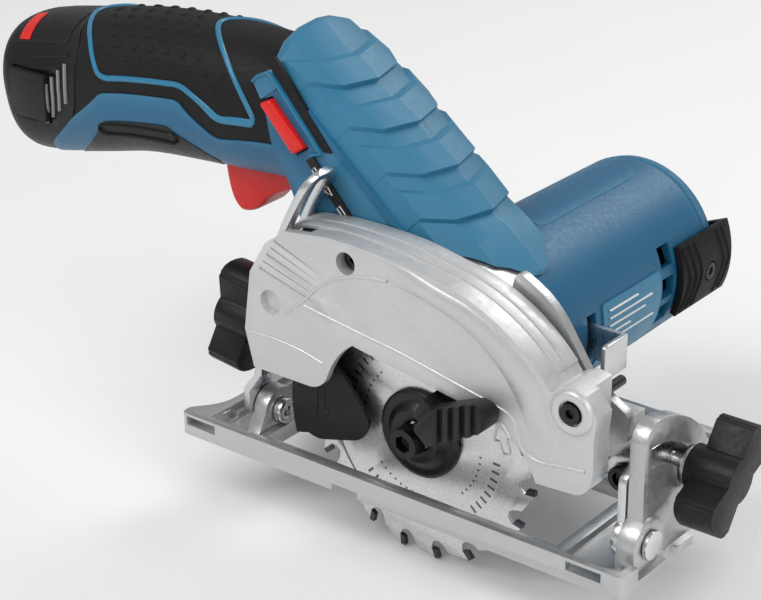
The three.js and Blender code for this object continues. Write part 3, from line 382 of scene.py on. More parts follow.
def turned(centre, profile, segments=64):
    """A closed profile of (radius, y) points turned about an axis along y, through centre (x, z)."""
    shape = bmesh.new()
    rings = []
    for radius, y in profile:
        circle = arc(centre, radius, 0, 360, segments)[:-1]
        rings.append([shape.verts.new((x, y, z)) for x, z in circle])
    for a, b in zip(rings, rings[1:] + rings[:1]):
        for i in range(segments):
            j = (i + 1) % segments
            shape.faces.new((a[i], a[j], b[j], b[i]))
    return shape


def skinned(rings):
    """A closed skin over rings of points, as a bmesh in millimetres."""
    shape = bmesh.new()
    made = [[shape.verts.new(p) for p in ring] for ring in rings]
    for a, b in zip(made, made[1:]):
        for i in range(len(a)):
            j = (i + 1) % len(a)
            shape.faces.new((a[i], a[j], b[j], b[i]))
    shape.faces.new(made[0])
    shape.faces.new(made[-1])
    return shape


def softened(outline, radius, steps=4):
    """A closed outline with its corners rounded off."""
    points = []
    count = len(outline)
    for i, corner in enumerate(outline):
        here = Vector(corner)
        before = Vector(outline[i - 1]) - here
        after = Vector(outline[(i + 1) % count]) - here
        reach = min(radius, 0.48 * before.length, 0.48 * after.length)
        start = here + before.normalized() * reach
        end = here + after.normalized() * reach
        for k in range(steps + 1):
            t = k / steps
            points.append(tuple((1 - t) ** 2 * start + 2 * t * (1 - t) * here + t * t * end))
    return points


def gridded(shape, step_u, step_v):
    """Splits a flat bmesh (u, v, height) along lines of constant u and v."""
    for k, step in ((0, step_u), (1, step_v)):
        low = min(v.co[k] for v in shape.verts)
        high = max(v.co[k] for v in shape.verts)
        normal = Vector((1, 0, 0)) if k == 0 else Vector((0, 1, 0))
        line = low + step
        while line < high:
            geometry = list(shape.verts) + list(shape.edges) + list(shape.faces)
            bmesh.ops.bisect_plane(shape, geom=geometry, plane_co=normal * line, plane_no=normal, dist=1e-4)
            line += step


CURVED_GRID, FLAT_GRID = (2.5, 2.5), (9, 9)  # how finely a plaque is split, in millimetres


def plaque(outline, lift, surface, edge=0.5, depth=0.6, step=CURVED_GRID):
    """A raised patch with sloped rims, wrapped on to surface(u, v, height)."""
    shape = bmesh.new()
    face = shape.faces.new([shape.verts.new((u, v, lift)) for u, v in outline])
    if face.normal.z < 0:
        face.normal_flip()
    ring = [v for v in face.verts]
    bmesh.ops.inset_region(shape, faces=[face], thickness=edge, use_even_offset=True)
    for vertex in ring:
        vertex.co.z = lift - edge * 0.7
    gridded(shape, *step)
    rim = [e for e in shape.edges if e.is_boundary]
    walls = bmesh.ops.extrude_edge_only(shape, edges=rim)["geom"]
    for vertex in (g for g in walls if isinstance(g, bmesh.types.BMVert)):
        vertex.co.z = -depth
    for vertex in shape.verts:
        vertex.co = surface(*vertex.co)
    return shape


def ribbon(points, width, lift, surface, closed=True, depth=0.5):
    """A half-round bead along a path of (u, v) points, wrapped on to surface(u, v, height)."""
    section = [(-0.5, -depth), (-0.5, lift * 0.3), (-0.3, lift * 0.85), (0, lift), (0.3, lift * 0.85),
               (0.5, lift * 0.3), (0.5, -depth)]
    shape = bmesh.new()
    rings = []
    count = len(points)
    for i, point in enumerate(points):
        before = Vector(points[i - 1] if closed or i else point)
        after = Vector(points[(i + 1) % count] if closed or i + 1 < count else point)
        along = (after - before).normalized()
        across = Vector((-along.y, along.x))
        ring = []
        for share, height in section:
            flat = Vector(point) + across * (share * width)
            ring.append(shape.verts.new(surface(flat.x, flat.y, height)))
        rings.append(ring)
    pairs = list(zip(rings, rings[1:] + rings[:1])) if closed else list(zip(rings, rings[1:]))
    for a, b in pairs:
        for i in range(len(section) - 1):
            shape.faces.new((a[i], a[i + 1], b[i + 1], b[i]))
    return shape


def along_path(corners, radius, spacing=2.0, closed=True):
    """Points spaced evenly along a path with rounded corners."""
    path = softened(corners, radius) if closed else corners
    loop = path + path[:1] if closed else path
    points = []
    for a, b in zip(loop, loop[1:]):
        a, b = Vector(a), Vector(b)
        count = max(1, int((b - a).length / spacing))
        points += [tuple(a.lerp(b, k / count)) for k in range(count)]
    return points if closed else points + [loop[-1]]


def joined(shapes):
    """Several bmeshes as one."""
    whole = bmesh.new()
    for shape in shapes:
        mesh = bpy.data.meshes.new("part")
        shape.to_mesh(mesh)
        shape.free()
        whole.from_mesh(mesh)
        bpy.data.meshes.remove(mesh)
    return whole


def dome(surface, u, v, radius, height, rings=3, segments=12):
    """A small round bump on a surface."""
    shape = bmesh.new()
    top = shape.verts.new(surface(u, v, height))
    last = None
    for k in range(1, rings + 2):
        share = min(k / rings, 1.0)
        level = height * math.sqrt(max(0.0, 1 - share * share)) if k <= rings else -0.4
        ring = []
        for i in range(segments):
            turn = 2 * math.pi * i / segments
            at_u = u + radius * share * math.cos(turn)
            at_v = v + radius * share * math.sin(turn)
            ring.append(shape.verts.new(surface(at_u, at_v, level)))
        for i in range(segments):
            j = (i + 1) % segments
            if last is None:
                shape.faces.new((top, ring[i], ring[j]))
            else:
                shape.faces.new((last[i], ring[i], ring[j], last[j]))
        last = ring
    return shape


def smooth_value(table, x):
    """A smooth curve through a table of (x, value) rows sorted by x."""
    i = 0
    while i < len(table) - 2 and x > table[i + 1][0]:
        i += 1
    (x0, y0), (x1, y1) = table[i], table[i + 1]
    before = table[i - 1] if i > 0 else table[i]
    after = table[i + 2] if i + 2 < len(table) else table[i + 1]
    slope0 = (y1 - before[1]) / (x1 - before[0])
    slope1 = (after[1] - y0) / (after[0] - x0)
    h = x1 - x0
    t = (x - x0) / h
    a = (1 + 2 * t) * (1 - t) ** 2 * y0 + t * (1 - t) ** 2 * h * slope0
    return a + t * t * (3 - 2 * t) * y1 + t * t * (t - 1) * h * slope1


# ---------- carried-over mechanics, with rounded edges ----------
def mechanics():
    """Every cast, turned or pressed piece whose CAD shape is already right."""
    rows = [  # material, width of the rounded edges in millimetres, CAD nodes
        (CAST, 0.45, ["base_plate", "gear_cover"]),
        (CAST, 0.8, ["gear_housing"]),
        (STEEL, 0.25, ["pivot_bracket", "bevel_clamp_screw", "depth_clamp_stud", "spindle_lock_lever"]),
        (STEEL, 0.2, ["bevel_washer", "depth_washer"]),
        (BRIGHT, 0.3, ["bevel_rivet", "bevel_screw_rear"]),
        (BRIGHT, 0.15, ["spindle_shaft", "spindle_gear", "idler_shaft", "idler_gear"]),
        (BRIGHT, 0.15, ["motor_shaft", "motor_pinion", "spindle_bearing_front", "spindle_bearing_rear"]),
        (BRIGHT, 0.15, ["guard_spring", "motor_can"]),
        (DARK, 0.25, ["depth_pivot_bolt", "guard_screw_front", "guard_screw_top"]),
        (DARK, 0.25, ["inner_flange", "blade_bolt"]),
        (DARK, 0.2, ["bumper_screw_front", "bumper_screw_rear"]),
        (COPPER, 0.2, ["armature", "commutator"]),
        (BLACK, 0.8, ["bevel_wing_knob", "depth_wing_knob", "guard_lever"]),
        (BLACK, 0.3, ["cooling_fan", "switch_module", "battery_tab_right", "battery_tab_left"]),
        (GUARD_BLACK, 0.6, ["lower_guard"]),
        (WHITE, 0.3, ["terminal_block"]),
        (RED, 1.3, ["trigger"]),
        (RED, 1.0, ["lock_off_button"]),
        (RUBBER, 0.9, ["bumper_front", "bumper_rear"]),
        (STEEL, 0.3, ["depth_guide"]),
        (PAINTED, 1.2, ["upper_guard"]),
        (BLADE, 0.12, ["saw_blade"]),
        (DARK, 0.3, ["outer_flange"]),
        (BRIGHT, 0.2, ["battery_cell_1", "battery_cell_2", "battery_cell_3"]),
    ]
    for material, width, nodes in rows:
        for node in nodes:
            fine(node, material, width)


# ---------- plastic body ----------
# The hood's roof is drawn in s, the way down its slope, and n, the height over the ridge line.
RIDGE = (-40.0, 123.0)  # x and z of the top of the ridge line, which falls to the front
FALL = math.radians(40.5)
ALONG = (math.cos(FALL), -math.sin(FALL))
AWAY = (math.sin(FALL), math.cos(FALL))
HOOD_MIDDLE = 27.5  # y of the hood's middle
HOOD_HALF = 19.5  # half the width of its roof
CREASE = 13.5  # how far from its middle the roof turns down to the sides
HOOD_EDGE = -18.5  # how far under the ridge the hood's side wall ends
HOOD_FOOT = 22.2  # half the width between the side walls' lower edges
HOOD_BACK = -23.0  # s of the roof's back edge, at its middle
CAP_RISE, CAP_REACH = 4.2, 18.0  # how high and how far the roof bulges at its back
SKIRT_TURN = -6.0  # behind this s, the side wall's foot runs in under the roof
BODY_SIDES = (5.0, 50.0)  # y of the flat sides of the body under the hood
SHINGLES = [5.5, 24.2, 42.2, 59.3]  # s of the four shingles' lower edges, at the roof's middle
SHINGLE_FOOT, SHINGLE_TOP = -11.8, -9.6  # where a shingle comes up, behind its lower edge
STEP = 1.5  # how far a shingle stands over the groove between it and the next


def on_slope(s, n):
    """The (x, z) point for a place on the roof's slope."""
    return (RIDGE[0] + s * ALONG[0] + n * AWAY[0], RIDGE[1] + s * ALONG[1] + n * AWAY[1])


def crown(s):
    """Height of the roof's middle over the ridge line."""
    return 1.4 - 0.0019 * (s - 50) ** 2


def roof_drop(out, s):
    """How far the roof falls between its middle and a place this far to the side."""
    fall = 1.3 * out / CREASE if out < CREASE else 1.3 + (out - CREASE) * 0.5
    return fall * (1 + min(max(s, 0), 60) / 50)


def cap(out, s):
    """How far the roof's back bulges up, most at its middle."""
    return CAP_RISE * (1 - (out / HOOD_HALF) ** 2) * min(max(-s / CAP_REACH, 0), 1)


def roof(out, s, level):
    """The (s, n) point this far above or below the roof's smooth surface."""
    return (s, crown(s) - roof_drop(out, s) + cap(out, s) + level)


def shingle_lag(out):
    """How far up the slope a shingle's edge runs back at this distance from the middle."""
    return -0.21 * out if out < CREASE else -2.8 - (out - CREASE) * 1.15


def hood_outline(out):
    """The roof's line at this distance from its middle, as (s, n) points from the back to the front."""
    lag = shingle_lag(out)
    back = HOOD_BACK + 6.5 * (out / HOOD_HALF) ** 3
    points = [(back + 4, HOOD_EDGE), (back + 1.5, -12 - out / 5)]
    room = SHINGLES[0] + lag + SHINGLE_FOOT - back
    spread = min(1.0, room / 6)
    for ahead, level in ((0.0, -4.6), (0.7, -2.8), (2.4, -1.7), (5.5, -STEP)):
        points.append(roof(out, back + ahead * spread, level))
    shingle = [(SHINGLE_FOOT, -STEP), (SHINGLE_TOP, 0.0), (-0.2, 0.15), (0.2, -STEP)]
    for edge in SHINGLES:
        points += [roof(out, edge + lag + ahead, level) for ahead, level in shingle]
    nose = [(66, 0.6), (74, 1.4), (82.5, 2.0), (84, 0.6)]
    points += [roof(out, s, level) for s, level in nose]
    return points + [(83, -14), (70, HOOD_EDGE)]


def hood_skirt():
    """The side wall's lower edge, point for point under the roof's edge."""
    points = []
    for s, n in hood_outline(HOOD_HALF):
        foot = s if s > SKIRT_TURN else SKIRT_TURN + (s - SKIRT_TURN) * 0.62
        points.append((foot, HOOD_EDGE if n > HOOD_EDGE else HOOD_EDGE - 0.6))
    return points


def hood_ring(points, y):
    """(s, n) points as points in space, at one y."""
    return [(x, y, z) for x, z in (on_slope(s, n) for s, n in points)]


def block(name, low, high):
    """A box-shaped cutter between two corners."""
    outline = [(low[0], low[2]), (high[0], low[2]), (high[0], high[2]), (low[0], high[2])]
    return piece(name, slab(outline, low[1], high[1]), "head", BLUE)


def motor_room():
    """Two cutters, for the round barrel and for the gear housing inside the body."""
    radius = MOTOR_RADIUS + 0.8
    barrel_room = turned(MOTOR, [(radius, -20), (radius, 130), (NEAR_AXIS, 130), (NEAR_AXIS, -20)])
    return [piece("room_a", barrel_room, "head", BLUE), block("room_b", (-34, -20, 20), (40, 60, 67.6))]


# Outlines, in x and z, of the lock-off button and the charge indicator's strip.
LOCK_OFF = [(-65, 110.5), (-60.6, 112.6), (-47.6, 99.6), (-52, 96.6)]
INDICATOR = [(-47.4, 95), (-44.5, 96.6), (-29.6, 80.7), (-32.5, 78.8)]


def grown(outline, by):
    """The outline pushed out from its middle."""
    middle = Vector((sum(p[0] for p in outline) / len(outline), sum(p[1] for p in outline) / len(outline)))
    return [tuple(Vector(p) + (Vector(p) - middle).normalized() * by) for p in outline]


def hood():
    """The shingled hood, skinned over rings from its near foot to its far foot."""
    outs = [HOOD_HALF, HOOD_HALF - 0.6, CREASE + 0.6, CREASE - 0.4, 6.5, 0.4, 0]
    near = [hood_ring(hood_skirt(), HOOD_MIDDLE - HOOD_FOOT)]
    near += [hood_ring(hood_outline(out), HOOD_MIDDLE - out) for out in outs]
    far = [hood_ring(hood_outline(out), HOOD_MIDDLE + out) for out in reversed(outs[:-1])]
    far.append(hood_ring(hood_skirt(), HOOD_MIDDLE + HOOD_FOOT))
    made = piece("hood", skinned(near + far), "head", BLUE, 28,
                 ("body_shell_right", "body_shell_left"))
    carved(made, motor_room())
    rounded(made, 0.5, 2, 24, 30)


def trigger_room():
    """A cutter for the trigger's place in the body and the handle."""
    return block("trigger_room", (-94.2, MIDDLE - 7.4, 60), (-57.2, MIDDLE + 7.4, 93))


def lower_body():
    """The flat-sided block under the hood, with the button's pocket."""
    under_roof = [on_slope(s, HOOD_EDGE + 5) for s in (-12.5, 79)]
    profile = [(-49, 70), (-55, 86), (-62, 97), (-65, 112), *under_roof, (20, 56), (-20, 56)]
    made = piece("lower_body", slab(softened(profile, 4), *BODY_SIDES), "head", BLUE)
    pocket = piece("pocket", slab(grown(LOCK_OFF, 0.7), -10, 20), "head", BLUE)
    carved(made, [*motor_room(), pocket, trigger_room()])
    rounded(made, 1.2, 3, 40, 35)


# ---------- handle ----------
# Down the handle, from its back: x, z of the middle, half the width and half the height.
HANDLE = [(-181, 89.1, 17, 17.6), (-178, 89.7, 21.4, 22), (-172, 90.9, 23, 23.6), (-150, 95.4, 22.8, 23.4),
          (-125, 100.4, 22.4, 22.8), (-100, 102.5, 21.5, 22.6), (-76, 103, 20.2, 22), (-60, 101.5, 18.4, 20),
          (-30, 96, 17.4, 15)]
HANDLE_BACK, HANDLE_FRONT = HANDLE[0][0], HANDLE[-1][0]
LEAN_SPAN = 6  # how far to each side of a point the handle's lean is measured
FULLNESS = 0.84  # the power of sine and cosine in its section: 1 is an ellipse, less is fuller
DEGREE = 0.39  # millimetres of the handle's skin for each degree round it
SLANT = -124  # where the handle's skin starts to run to its slanted mouth
# The mouth's x for each angle from the top.
MOUTH = [(0, -146), (29, -143.5), (52, -140.5), (99, -144.5), (130, -158), (157, -170), (180, -170.5)]


def handle_point(x, across, lift=0.0):
    """A point on the handle: across is the way round in millimetres, from the far side over the top."""
    turn = math.radians(across / DEGREE)
    z, half_y, half_z = (smooth_value([(row[0], row[k]) for row in HANDLE], x) for k in (1, 2, 3))
    middle = [(row[0], row[1]) for row in HANDLE]
    ahead = min(x + LEAN_SPAN, HANDLE_FRONT)
    behind = max(x - LEAN_SPAN, HANDLE_BACK)
    lean = math.atan2(smooth_value(middle, ahead) - smooth_value(middle, behind), ahead - behind)
    side = math.copysign(abs(math.cos(turn)) ** FULLNESS, math.cos(turn)) * (half_y + lift)
    up = math.copysign(abs(math.sin(turn)) ** FULLNESS, math.sin(turn)) * (half_z + lift)
    return (x - up * math.sin(lean), MIDDLE + side, z + up * math.cos(lean))


def far_point(x, across, lift=0.0):
    """The point on the handle's far side that mirrors handle_point."""
    return handle_point(x, 180 * DEGREE - across, lift)


def mouth_x(degrees):
    """Where the handle ends and the battery begins, for an angle round the handle."""
    from_top = abs((degrees - 90 + 180) % 360 - 180)
    return smooth_value(MOUTH, from_top)


ROUND = [5 * i for i in range(72)]  # the angles round the handle at which its skin is drawn


def handle_shell(name, lift, reach, material):
    """The handle's skin from the hood to its slanted mouth, which reach moves forward."""
    rings = []
    for x in (-47, -53, -60, -68, -76, -84, -92, -100, -108, -116, SLANT):
        rings.append([handle_point(x, v * DEGREE, lift) for v in ROUND])
    for share in (0.2, 0.4, 0.6, 0.8, 1.0):
        ends = [SLANT + (mouth_x(v) + reach - SLANT) * share for v in ROUND]
        rings.append([handle_point(x, v * DEGREE, lift) for x, v in zip(ends, ROUND)])
    return piece(name, skinned(rings), "head", material, 30)


def handle():
    """The soft handle, open at its mouth and at the trigger."""
    made = handle_shell("handle", 0, 0, RUBBER)
    wall = 2.6
    hollow = handle_shell("hollow", -wall, -3, RUBBER)
    carved(made, [hollow, trigger_room()])
    rounded(made, 0.5, 2, 40, 30)
    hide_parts("grip_right", "grip_left")


def skin(outline):
    """An outline of (x, degrees) points as (x, millimetres round the handle)."""
    return [(x, v * DEGREE) for x, v in outline]


def clear_inside(point, outline, clearance):
    """Whether a point lies inside an outline and at least this far from its edge."""
    inside = False
    here = Vector(point)
    for a, b in zip(outline, outline[1:] + outline[:1]):
        a, b = Vector(a), Vector(b)
        if (a.y > here.y) != (b.y > here.y) and here.x < a.x + (here.y - a.y) * (b.x - a.x) / (b.y - a.y):
            inside = not inside
        share = max(0.0, min(1.0, (here - a).dot(b - a) / (b - a).length_squared))
        if (here - a.lerp(b, share)).length < clearance:
            return False
    return inside


def grip_dots(outline):
    """Small domes in staggered rows inside an outline on the handle."""
    rows, columns = 17, 13
    row_turn, spacing = 12.5, 6.6  # degrees between rows, and millimetres between dots
    domes = []
    for row in range(rows):
        v = 90 + (row - rows // 2) * row_turn
        for column in range(columns):
            x = -138 + column * spacing + (spacing / 2 if row % 2 else 0)
            if clear_inside((x, v * DEGREE), outline, 3.6):
                domes.append(dome(handle_point, x, v * DEGREE, 1.35, 0.6))
    piece("grip_dots", joined(domes), "head", RUBBER)


def handle_trim():
    """The lower band, panels, ovals, outline and dots laid on the handle's skin."""
    near_band = [(-46, 186), (-58.5, 189), (-84, 199), (-98.5, 177), (-132, 179), (-146.5, 194),
                 (-163, 221), (-169, 250)]
    band = near_band + [(x, 540 - v) for x, v in reversed(near_band)]
    made = piece("lower_band", plaque(softened(skin(band), 2.5), 0.9, handle_point, 0.6), "head", BLUE)
    carved(made, [trigger_room()])
    panel = [(-159, 250), (-133, 198), (-104.5, 195), (-94, 212), (-87.5, 230), (-94, 262), (-150, 262)]
    oval = [(-136, 200.5), (-101.5, 202), (-101.5, 212), (-136, 210)]
    strip = [(-147, 90), (-136.5, 136), (-131.5, 166), (-128.5, 169), (-97.5, 166), (-82.5, 183), (-68, 180),
             (-82.5, 135), (-93, 104), (-97, 90)]
    far_strip = [(x, 180 - v) for x, v in reversed(strip[1:-1])]
    for side, surface in (("near", handle_point), ("far", far_point)):
        piece("lower_panel_" + side, plaque(softened(skin(panel), 1.5), 1.3, surface, 0.8), "head", BLACK)
        lined = along_path(skin(oval), 3.5, 1.5)
        piece("oval_" + side, ribbon(lined, 0.7, 1.6, surface), "head", BLACK)
    lined = along_path(skin(strip + far_strip), 2.5, 2)
    piece("blue_outline", ribbon(lined, 1.7, 0.7, handle_point), "head", BLUE_SMOOTH)
    grip_dots(skin(strip + far_strip))


# ---------- battery ----------
BATTERY_CURVE = -173  # x behind which the battery's end rounds off


def battery_trim(side, surface):
    """Four curved finger ribs and a dark slot on one side of the battery."""
    count, steps = 4, 6
    ribs = []
    for i in range(count):
        x = -155.5 + i * 3.1
        v = 173 - i * 5
        curve = []
        for k in range(steps + 1):
            share = k / steps
            at = x - 1.5 * k / steps - 2.5 * share ** 2 + 2.2 * i * k / 18
            curve.append((at, v + 26 * k / steps))
        ribs.append(ribbon(skin(curve), 1.0, 0.8, surface, closed=False))
    piece("battery_ribs_" + side, joined(ribs), "battery", GREY)
    slot_line = skin([(-163, 151.5), (-145, 150.5)])
    piece("battery_slot_" + side, ribbon(slot_line, 1.0, 0.25, surface, closed=False), "battery", DARK)


def battery():
    """The battery's case, which slides into the handle's mouth, with its ribs and labels."""
    rings = [[handle_point(-118, v * DEGREE, -3.2) for v in ROUND]]
    for behind, lift in ((1.5, -3.2), (0.5, -0.9), (1.1, -0.1)):
        rings.append([handle_point(mouth_x(v) - behind, v * DEGREE, lift) for v in ROUND])
    for share in (0.25, 0.5, 0.75, 1.0):
        places = [mouth_x(v) + (BATTERY_CURVE - mouth_x(v)) * share for v in ROUND]
        rings.append([handle_point(x, v * DEGREE) for x, v in zip(places, ROUND)])
    for x in (-175, -177, -179, -180.4, -181):
        rings.append([handle_point(x, v * DEGREE) for v in ROUND])
    case = piece("battery_case_fine", skinned(rings), "battery", BLACK, 30,
                 ("battery_case",))
    tab_sides = (("tab_a", -1.5, 6.2), ("tab_b", 41.8, 50))
    carved(case, [block(name, (-172.5, near, 84.5), (-155.5, far, 101.5)) for name, near, far in tab_sides])
    battery_trim("near", handle_point)
    label = [(-147, 90), (-146.5, 140), (-171, 138), (-173, 90)]
    label_shape = plaque(softened(skin(label), 1.2), 0.35, handle_point, 0.3, 0.4)
    piece("battery_label", label_shape, "battery", BLACK)
    stripe = [(-166.5, 100), (-164.5, 136), (-169.5, 135), (-171, 100)]
    stripe_shape = plaque(softened(skin(stripe), 0.5), 0.5, handle_point, 0.1, 0.3)
    piece("battery_stripe", stripe_shape, "battery", RED)
    battery_trim("far", far_point)


# ---------- motor barrel ----------
def barrel_point(along, turn, lift=0.0):
    """A point on the motor barrel: along its length, and round it in millimetres from the front."""
    swell = 0.5 * max(0.0, 1 - abs(along - 68) / 44)
    radius = MOTOR_RADIUS + swell + lift
    angle = turn / MOTOR_RADIUS
    return (MOTOR[0] + radius * math.cos(angle), along, MOTOR[1] + radius * math.sin(angle))


def on_barrel(outline):
    """An outline of (y, degrees) points as (y, millimetres round the barrel)."""
    return [(y, math.radians(degrees) * MOTOR_RADIUS) for y, degrees in outline]


def sector_slab(inner, outer, start, end, low, high):
    """A sector of a ring round the motor's axis, given thickness along y."""
    outline = arc(MOTOR, outer, start, end, 10) + arc(MOTOR, inner, end, start, 10)
    return slab(outline, low, high)


def barrel():
    """The hollow barrel with its slots and vents, and its end cap."""
    inner = MOTOR_RADIUS - 2.6
    swell = [(barrel_point(y, 0)[0] - MOTOR[0], y) for y in (104, 92, 80, 68, 56, 44, 32)]
    profile = [(inner, MOTOR_FAR), (MOTOR_RADIUS - 0.5, MOTOR_FAR), (MOTOR_RADIUS, MOTOR_FAR - 0.6), *swell,
               (MOTOR_RADIUS, MOTOR_NEAR), (inner, MOTOR_NEAR)]
    made = piece("motor_barrel", turned(MOTOR, profile, segments=128), "head", BLUE, 30,
                 ("motor_housing",))
    cutters = [block("snout", (-23.5, MOTOR_NEAR - 1, 0), (23.5, 30.5, 37.5))]
    idler_axis, idler_radius = (-7.4, 34.5), 20
    idler_room = turned(idler_axis, [(NEAR_AXIS, MOTOR_NEAR - 1), (idler_radius, MOTOR_NEAR - 1),
                                     (idler_radius, 39.4), (NEAR_AXIS, 39.4)])
    cutters.append(piece("idler_room", idler_room, "head", BLUE))
    cutters.append(piece("lever_slot", sector_slab(20, 40, -54, 12, 39, 43.6), "head", BLUE))
    for angle in (20, -1, -20, 160, 181, 200):
        vent = sector_slab(20, 40, angle - 7, angle + 7, 81.6, 88.4)
        cutters.append(piece("vent", vent, "head", BLUE))
    carved(made, cutters)
    rounded(made, 0.5, 2, 40, 30)
    end = [(21, MOTOR_FAR + 0.3), (MOTOR_RADIUS - 0.4, MOTOR_FAR + 0.3), (MOTOR_RADIUS, MOTOR_FAR + 1),
           (MOTOR_RADIUS - 0.6, MOTOR_FAR + 4), (MOTOR_RADIUS - 4, MOTOR_END - 0.8),
           (MOTOR_RADIUS - 6, MOTOR_END), (NEAR_AXIS, MOTOR_END), (NEAR_AXIS, MOTOR_END - 3),
           (21, MOTOR_END - 4)]
    piece("end_cap", turned(MOTOR, end, segments=128), "head", BLUE, 25,
          ("motor_end_cap",))


def barrel_panels():
    """The rating label with plain lines for print, and the raised panel on the barrel's top."""
    label = on_barrel([(47, -32), (80, -32), (80, 14), (47, 14)])
    piece("label_panel", plaque(softened(label, 1.5), 0.9, barrel_point, 0.5), "head", BLUE_SMOOTH, 30,
          ("rating_label",))
    line_start = 50
    lines = []
    for row, line_end in enumerate((66, 74, 70, 62, 76)):
        degrees = 8 - row * 5
        line = on_barrel([(line_start, degrees), (line_end, degrees)])
        lines.append(ribbon(line, 0.75, 1.05, barrel_point, closed=False, depth=0))
    for column in range(9):
        y = line_start + column * 1.5
        bar = on_barrel([(y, -25), (y, -20)])
        lines.append(ribbon(bar, 0.6, 1.05, barrel_point, closed=False, depth=0))
    piece("label_lines", joined(lines), "head", WHITE)
    top = on_barrel([(45, 76), (98, 76), (103, 84), (103, 101), (98, 109), (45, 109)])
    piece("top_panel", plaque(softened(top, 4), 0.7, barrel_point, 0.8), "head", BLUE, 30)


def bumper_chevrons():
    """Raised V ribs on the rubber blocks at the barrel's end, on both sides of their screws."""
    for name, middle in (("front", -1), ("rear", 181)):
        ribs = []
        for y in (93, 96.6, 100.2, 113.8, 117.2):
            corners = on_barrel([(y - 2, middle - 20), (y + 1.2, middle), (y - 2, middle + 20)])
            path = along_path(corners, 0, 2, closed=False)
            ribs.append(ribbon(path, 1.5, 3.5, barrel_point, closed=False, depth=-2.5))
        piece("bumper_ribs_" + name, joined(ribs), "head", RUBBER)


# ---------- indicator strip ----------
def body_face(x, z, lift):
    """A point on the body's near side."""
    return (x, BODY_SIDES[0] - lift, z)


def indicator():
    """The charge indicator's strip and signs, and the plates round the lock-off button."""
    strip = plaque(softened(grown(INDICATOR, 0.8), 0.8), 0.8, body_face, 0.3, 1.0, FLAT_GRID)
    piece("indicator", strip, "head", BLACK, 30, ("charge_indicator",))
    signs = []
    for share in (0.18, 0.5, 0.82):
        x = -46 + 15 * share
        z = 95.8 - 16 * share
        cell = [(x - 1.1, z + 1.1), (x + 1.1, z - 1.1), (x + 0.1, z - 2.1), (x - 2.1, z + 0.1)]
        if share == 0.5:
            cell = [(x - 0.8, z + 1.2), (x + 0.9, z - 1.2), (x - 1.6, z - 0.8)]
        signs.append(ribbon(cell, 0.35, 1.0, body_face))
    piece("indicator_signs", joined(signs), "head", WHITE)
    wedge = [(-59.6, 126), (-37.4, 99.9), (-41.2, 99.5), (-60.2, 120.9), (-63, 124)]
    wedge_shape = plaque(softened(wedge, 0.8), 0.5, body_face, 0.3, 1.0, FLAT_GRID)
    piece("black_wedge", wedge_shape, "head", RUBBER)
    round_end = [(-68.3, 116.6), (-66.6, 118.4), (-62.3, 120.6), (-60.9, 119.9)]
    rim = along_path(round_end + [(-41.9, 98.8), (-46.4, 97.4)], 1.2, 1.5, closed=False)
    piece("button_bezel", ribbon(rim, 1.1, 1.2, body_face, closed=False, depth=1.0), "head", BLUE_SMOOTH)
    plate = round_end + [(-58.6, 116.4), (-65.4, 111.2)]
    plate_shape = plaque(softened(plate, 1.0), 0.7, body_face, 0.3, 1.5, FLAT_GRID)
    piece("button_plate", plate_shape, "head", BLUE)


TEETH = 20
FIRST_TOOTH = -118.9  # degrees round the spindle
TIP_HALF = 0.8  # half the tips' thickness


def carbide_tips():
    """A small hard tip brazed into each tooth of the blade."""
    tips = []
    tip_radius = (blade_high.z - blade_low.z) / 2 / MM
    corners = [(tip_radius + 0.4, 0.1), (tip_radius + 0.1, 2.3), (tip_radius - 2.6, 1.4),
               (tip_radius - 3.0, -1.3)]
    for tooth in range(TEETH):
        start = FIRST_TOOTH + tooth * 360 / TEETH
        outline = [arc(SPINDLE, radius, start + turn, start + turn, 1)[0] for radius, turn in corners]
        tips.append(slab(outline, -TIP_HALF, TIP_HALF))
    piece("carbide_tips", joined(tips), BODY["saw_blade"], CARBIDE)


# ---------- raised work on the guards ----------
def guard_face(x, z, lift):
    """A point on the upper guard's flat face."""
    return (x, GUARD_FACE - lift, z)


def lower_guard_face(x, z, lift):
    """A point on the lower guard's flat face."""
    return (x, LOWER_GUARD_FACE - lift, z)


def resampled(points, count):
    """The line through the points as this many equal steps of its length."""
    lengths = [0.0]
    for a, b in zip(points, points[1:]):
        lengths.append(lengths[-1] + (Vector(b) - Vector(a)).length)
    rows = [[(length, point[k]) for length, point in zip(lengths, points)] for k in (0, 1)]
    return [tuple(smooth_value(row, lengths[-1] * i / count) for row in rows) for i in range(count + 1)]


def beside(line, across):
    """The line moved sideways, to its left for a positive distance."""
    moved = []
    for i, point in enumerate(line):
        along = Vector(line[min(i + 1, len(line) - 1)]) - Vector(line[max(i - 1, 0)])
        moved.append(tuple(Vector(point) + Vector((-along.y, along.x)).normalized() * across))
    return moved


def eased(points):
    """A smooth open line through the points, about 1.5 mm between steps."""
    length = sum((Vector(b) - Vector(a)).length for a, b in zip(points, points[1:]))
    return resampled(points, int(length / 1.5))


def bead(name, points, width, lift, surface, material, body="head", closed=False):
    """A low rounded line laid on a flat face."""
    line = along_path(points, 2, 2, closed) if closed else eased(points)
    piece(name, ribbon(line, width, lift, surface, closed, depth=0.3), body, material)


# The brow's two edges, in x and z, from the top of the guard to its front.
BROW_INSIDE = [(-7, 74.4), (-2, 72.9), (8.1, 71.2), (20.6, 67.6), (31.2, 61.6), (39.3, 53.6),
               (44.6, 45), (48, 36)]
BROW_OUTSIDE = [(-8, 80), (3, 79.3), (13.7, 76.5), (25.9, 73.5), (37.1, 68), (45.5, 61.7),
                (51.3, 55.6), (53, 50), (55.5, 43), (58, 37)]


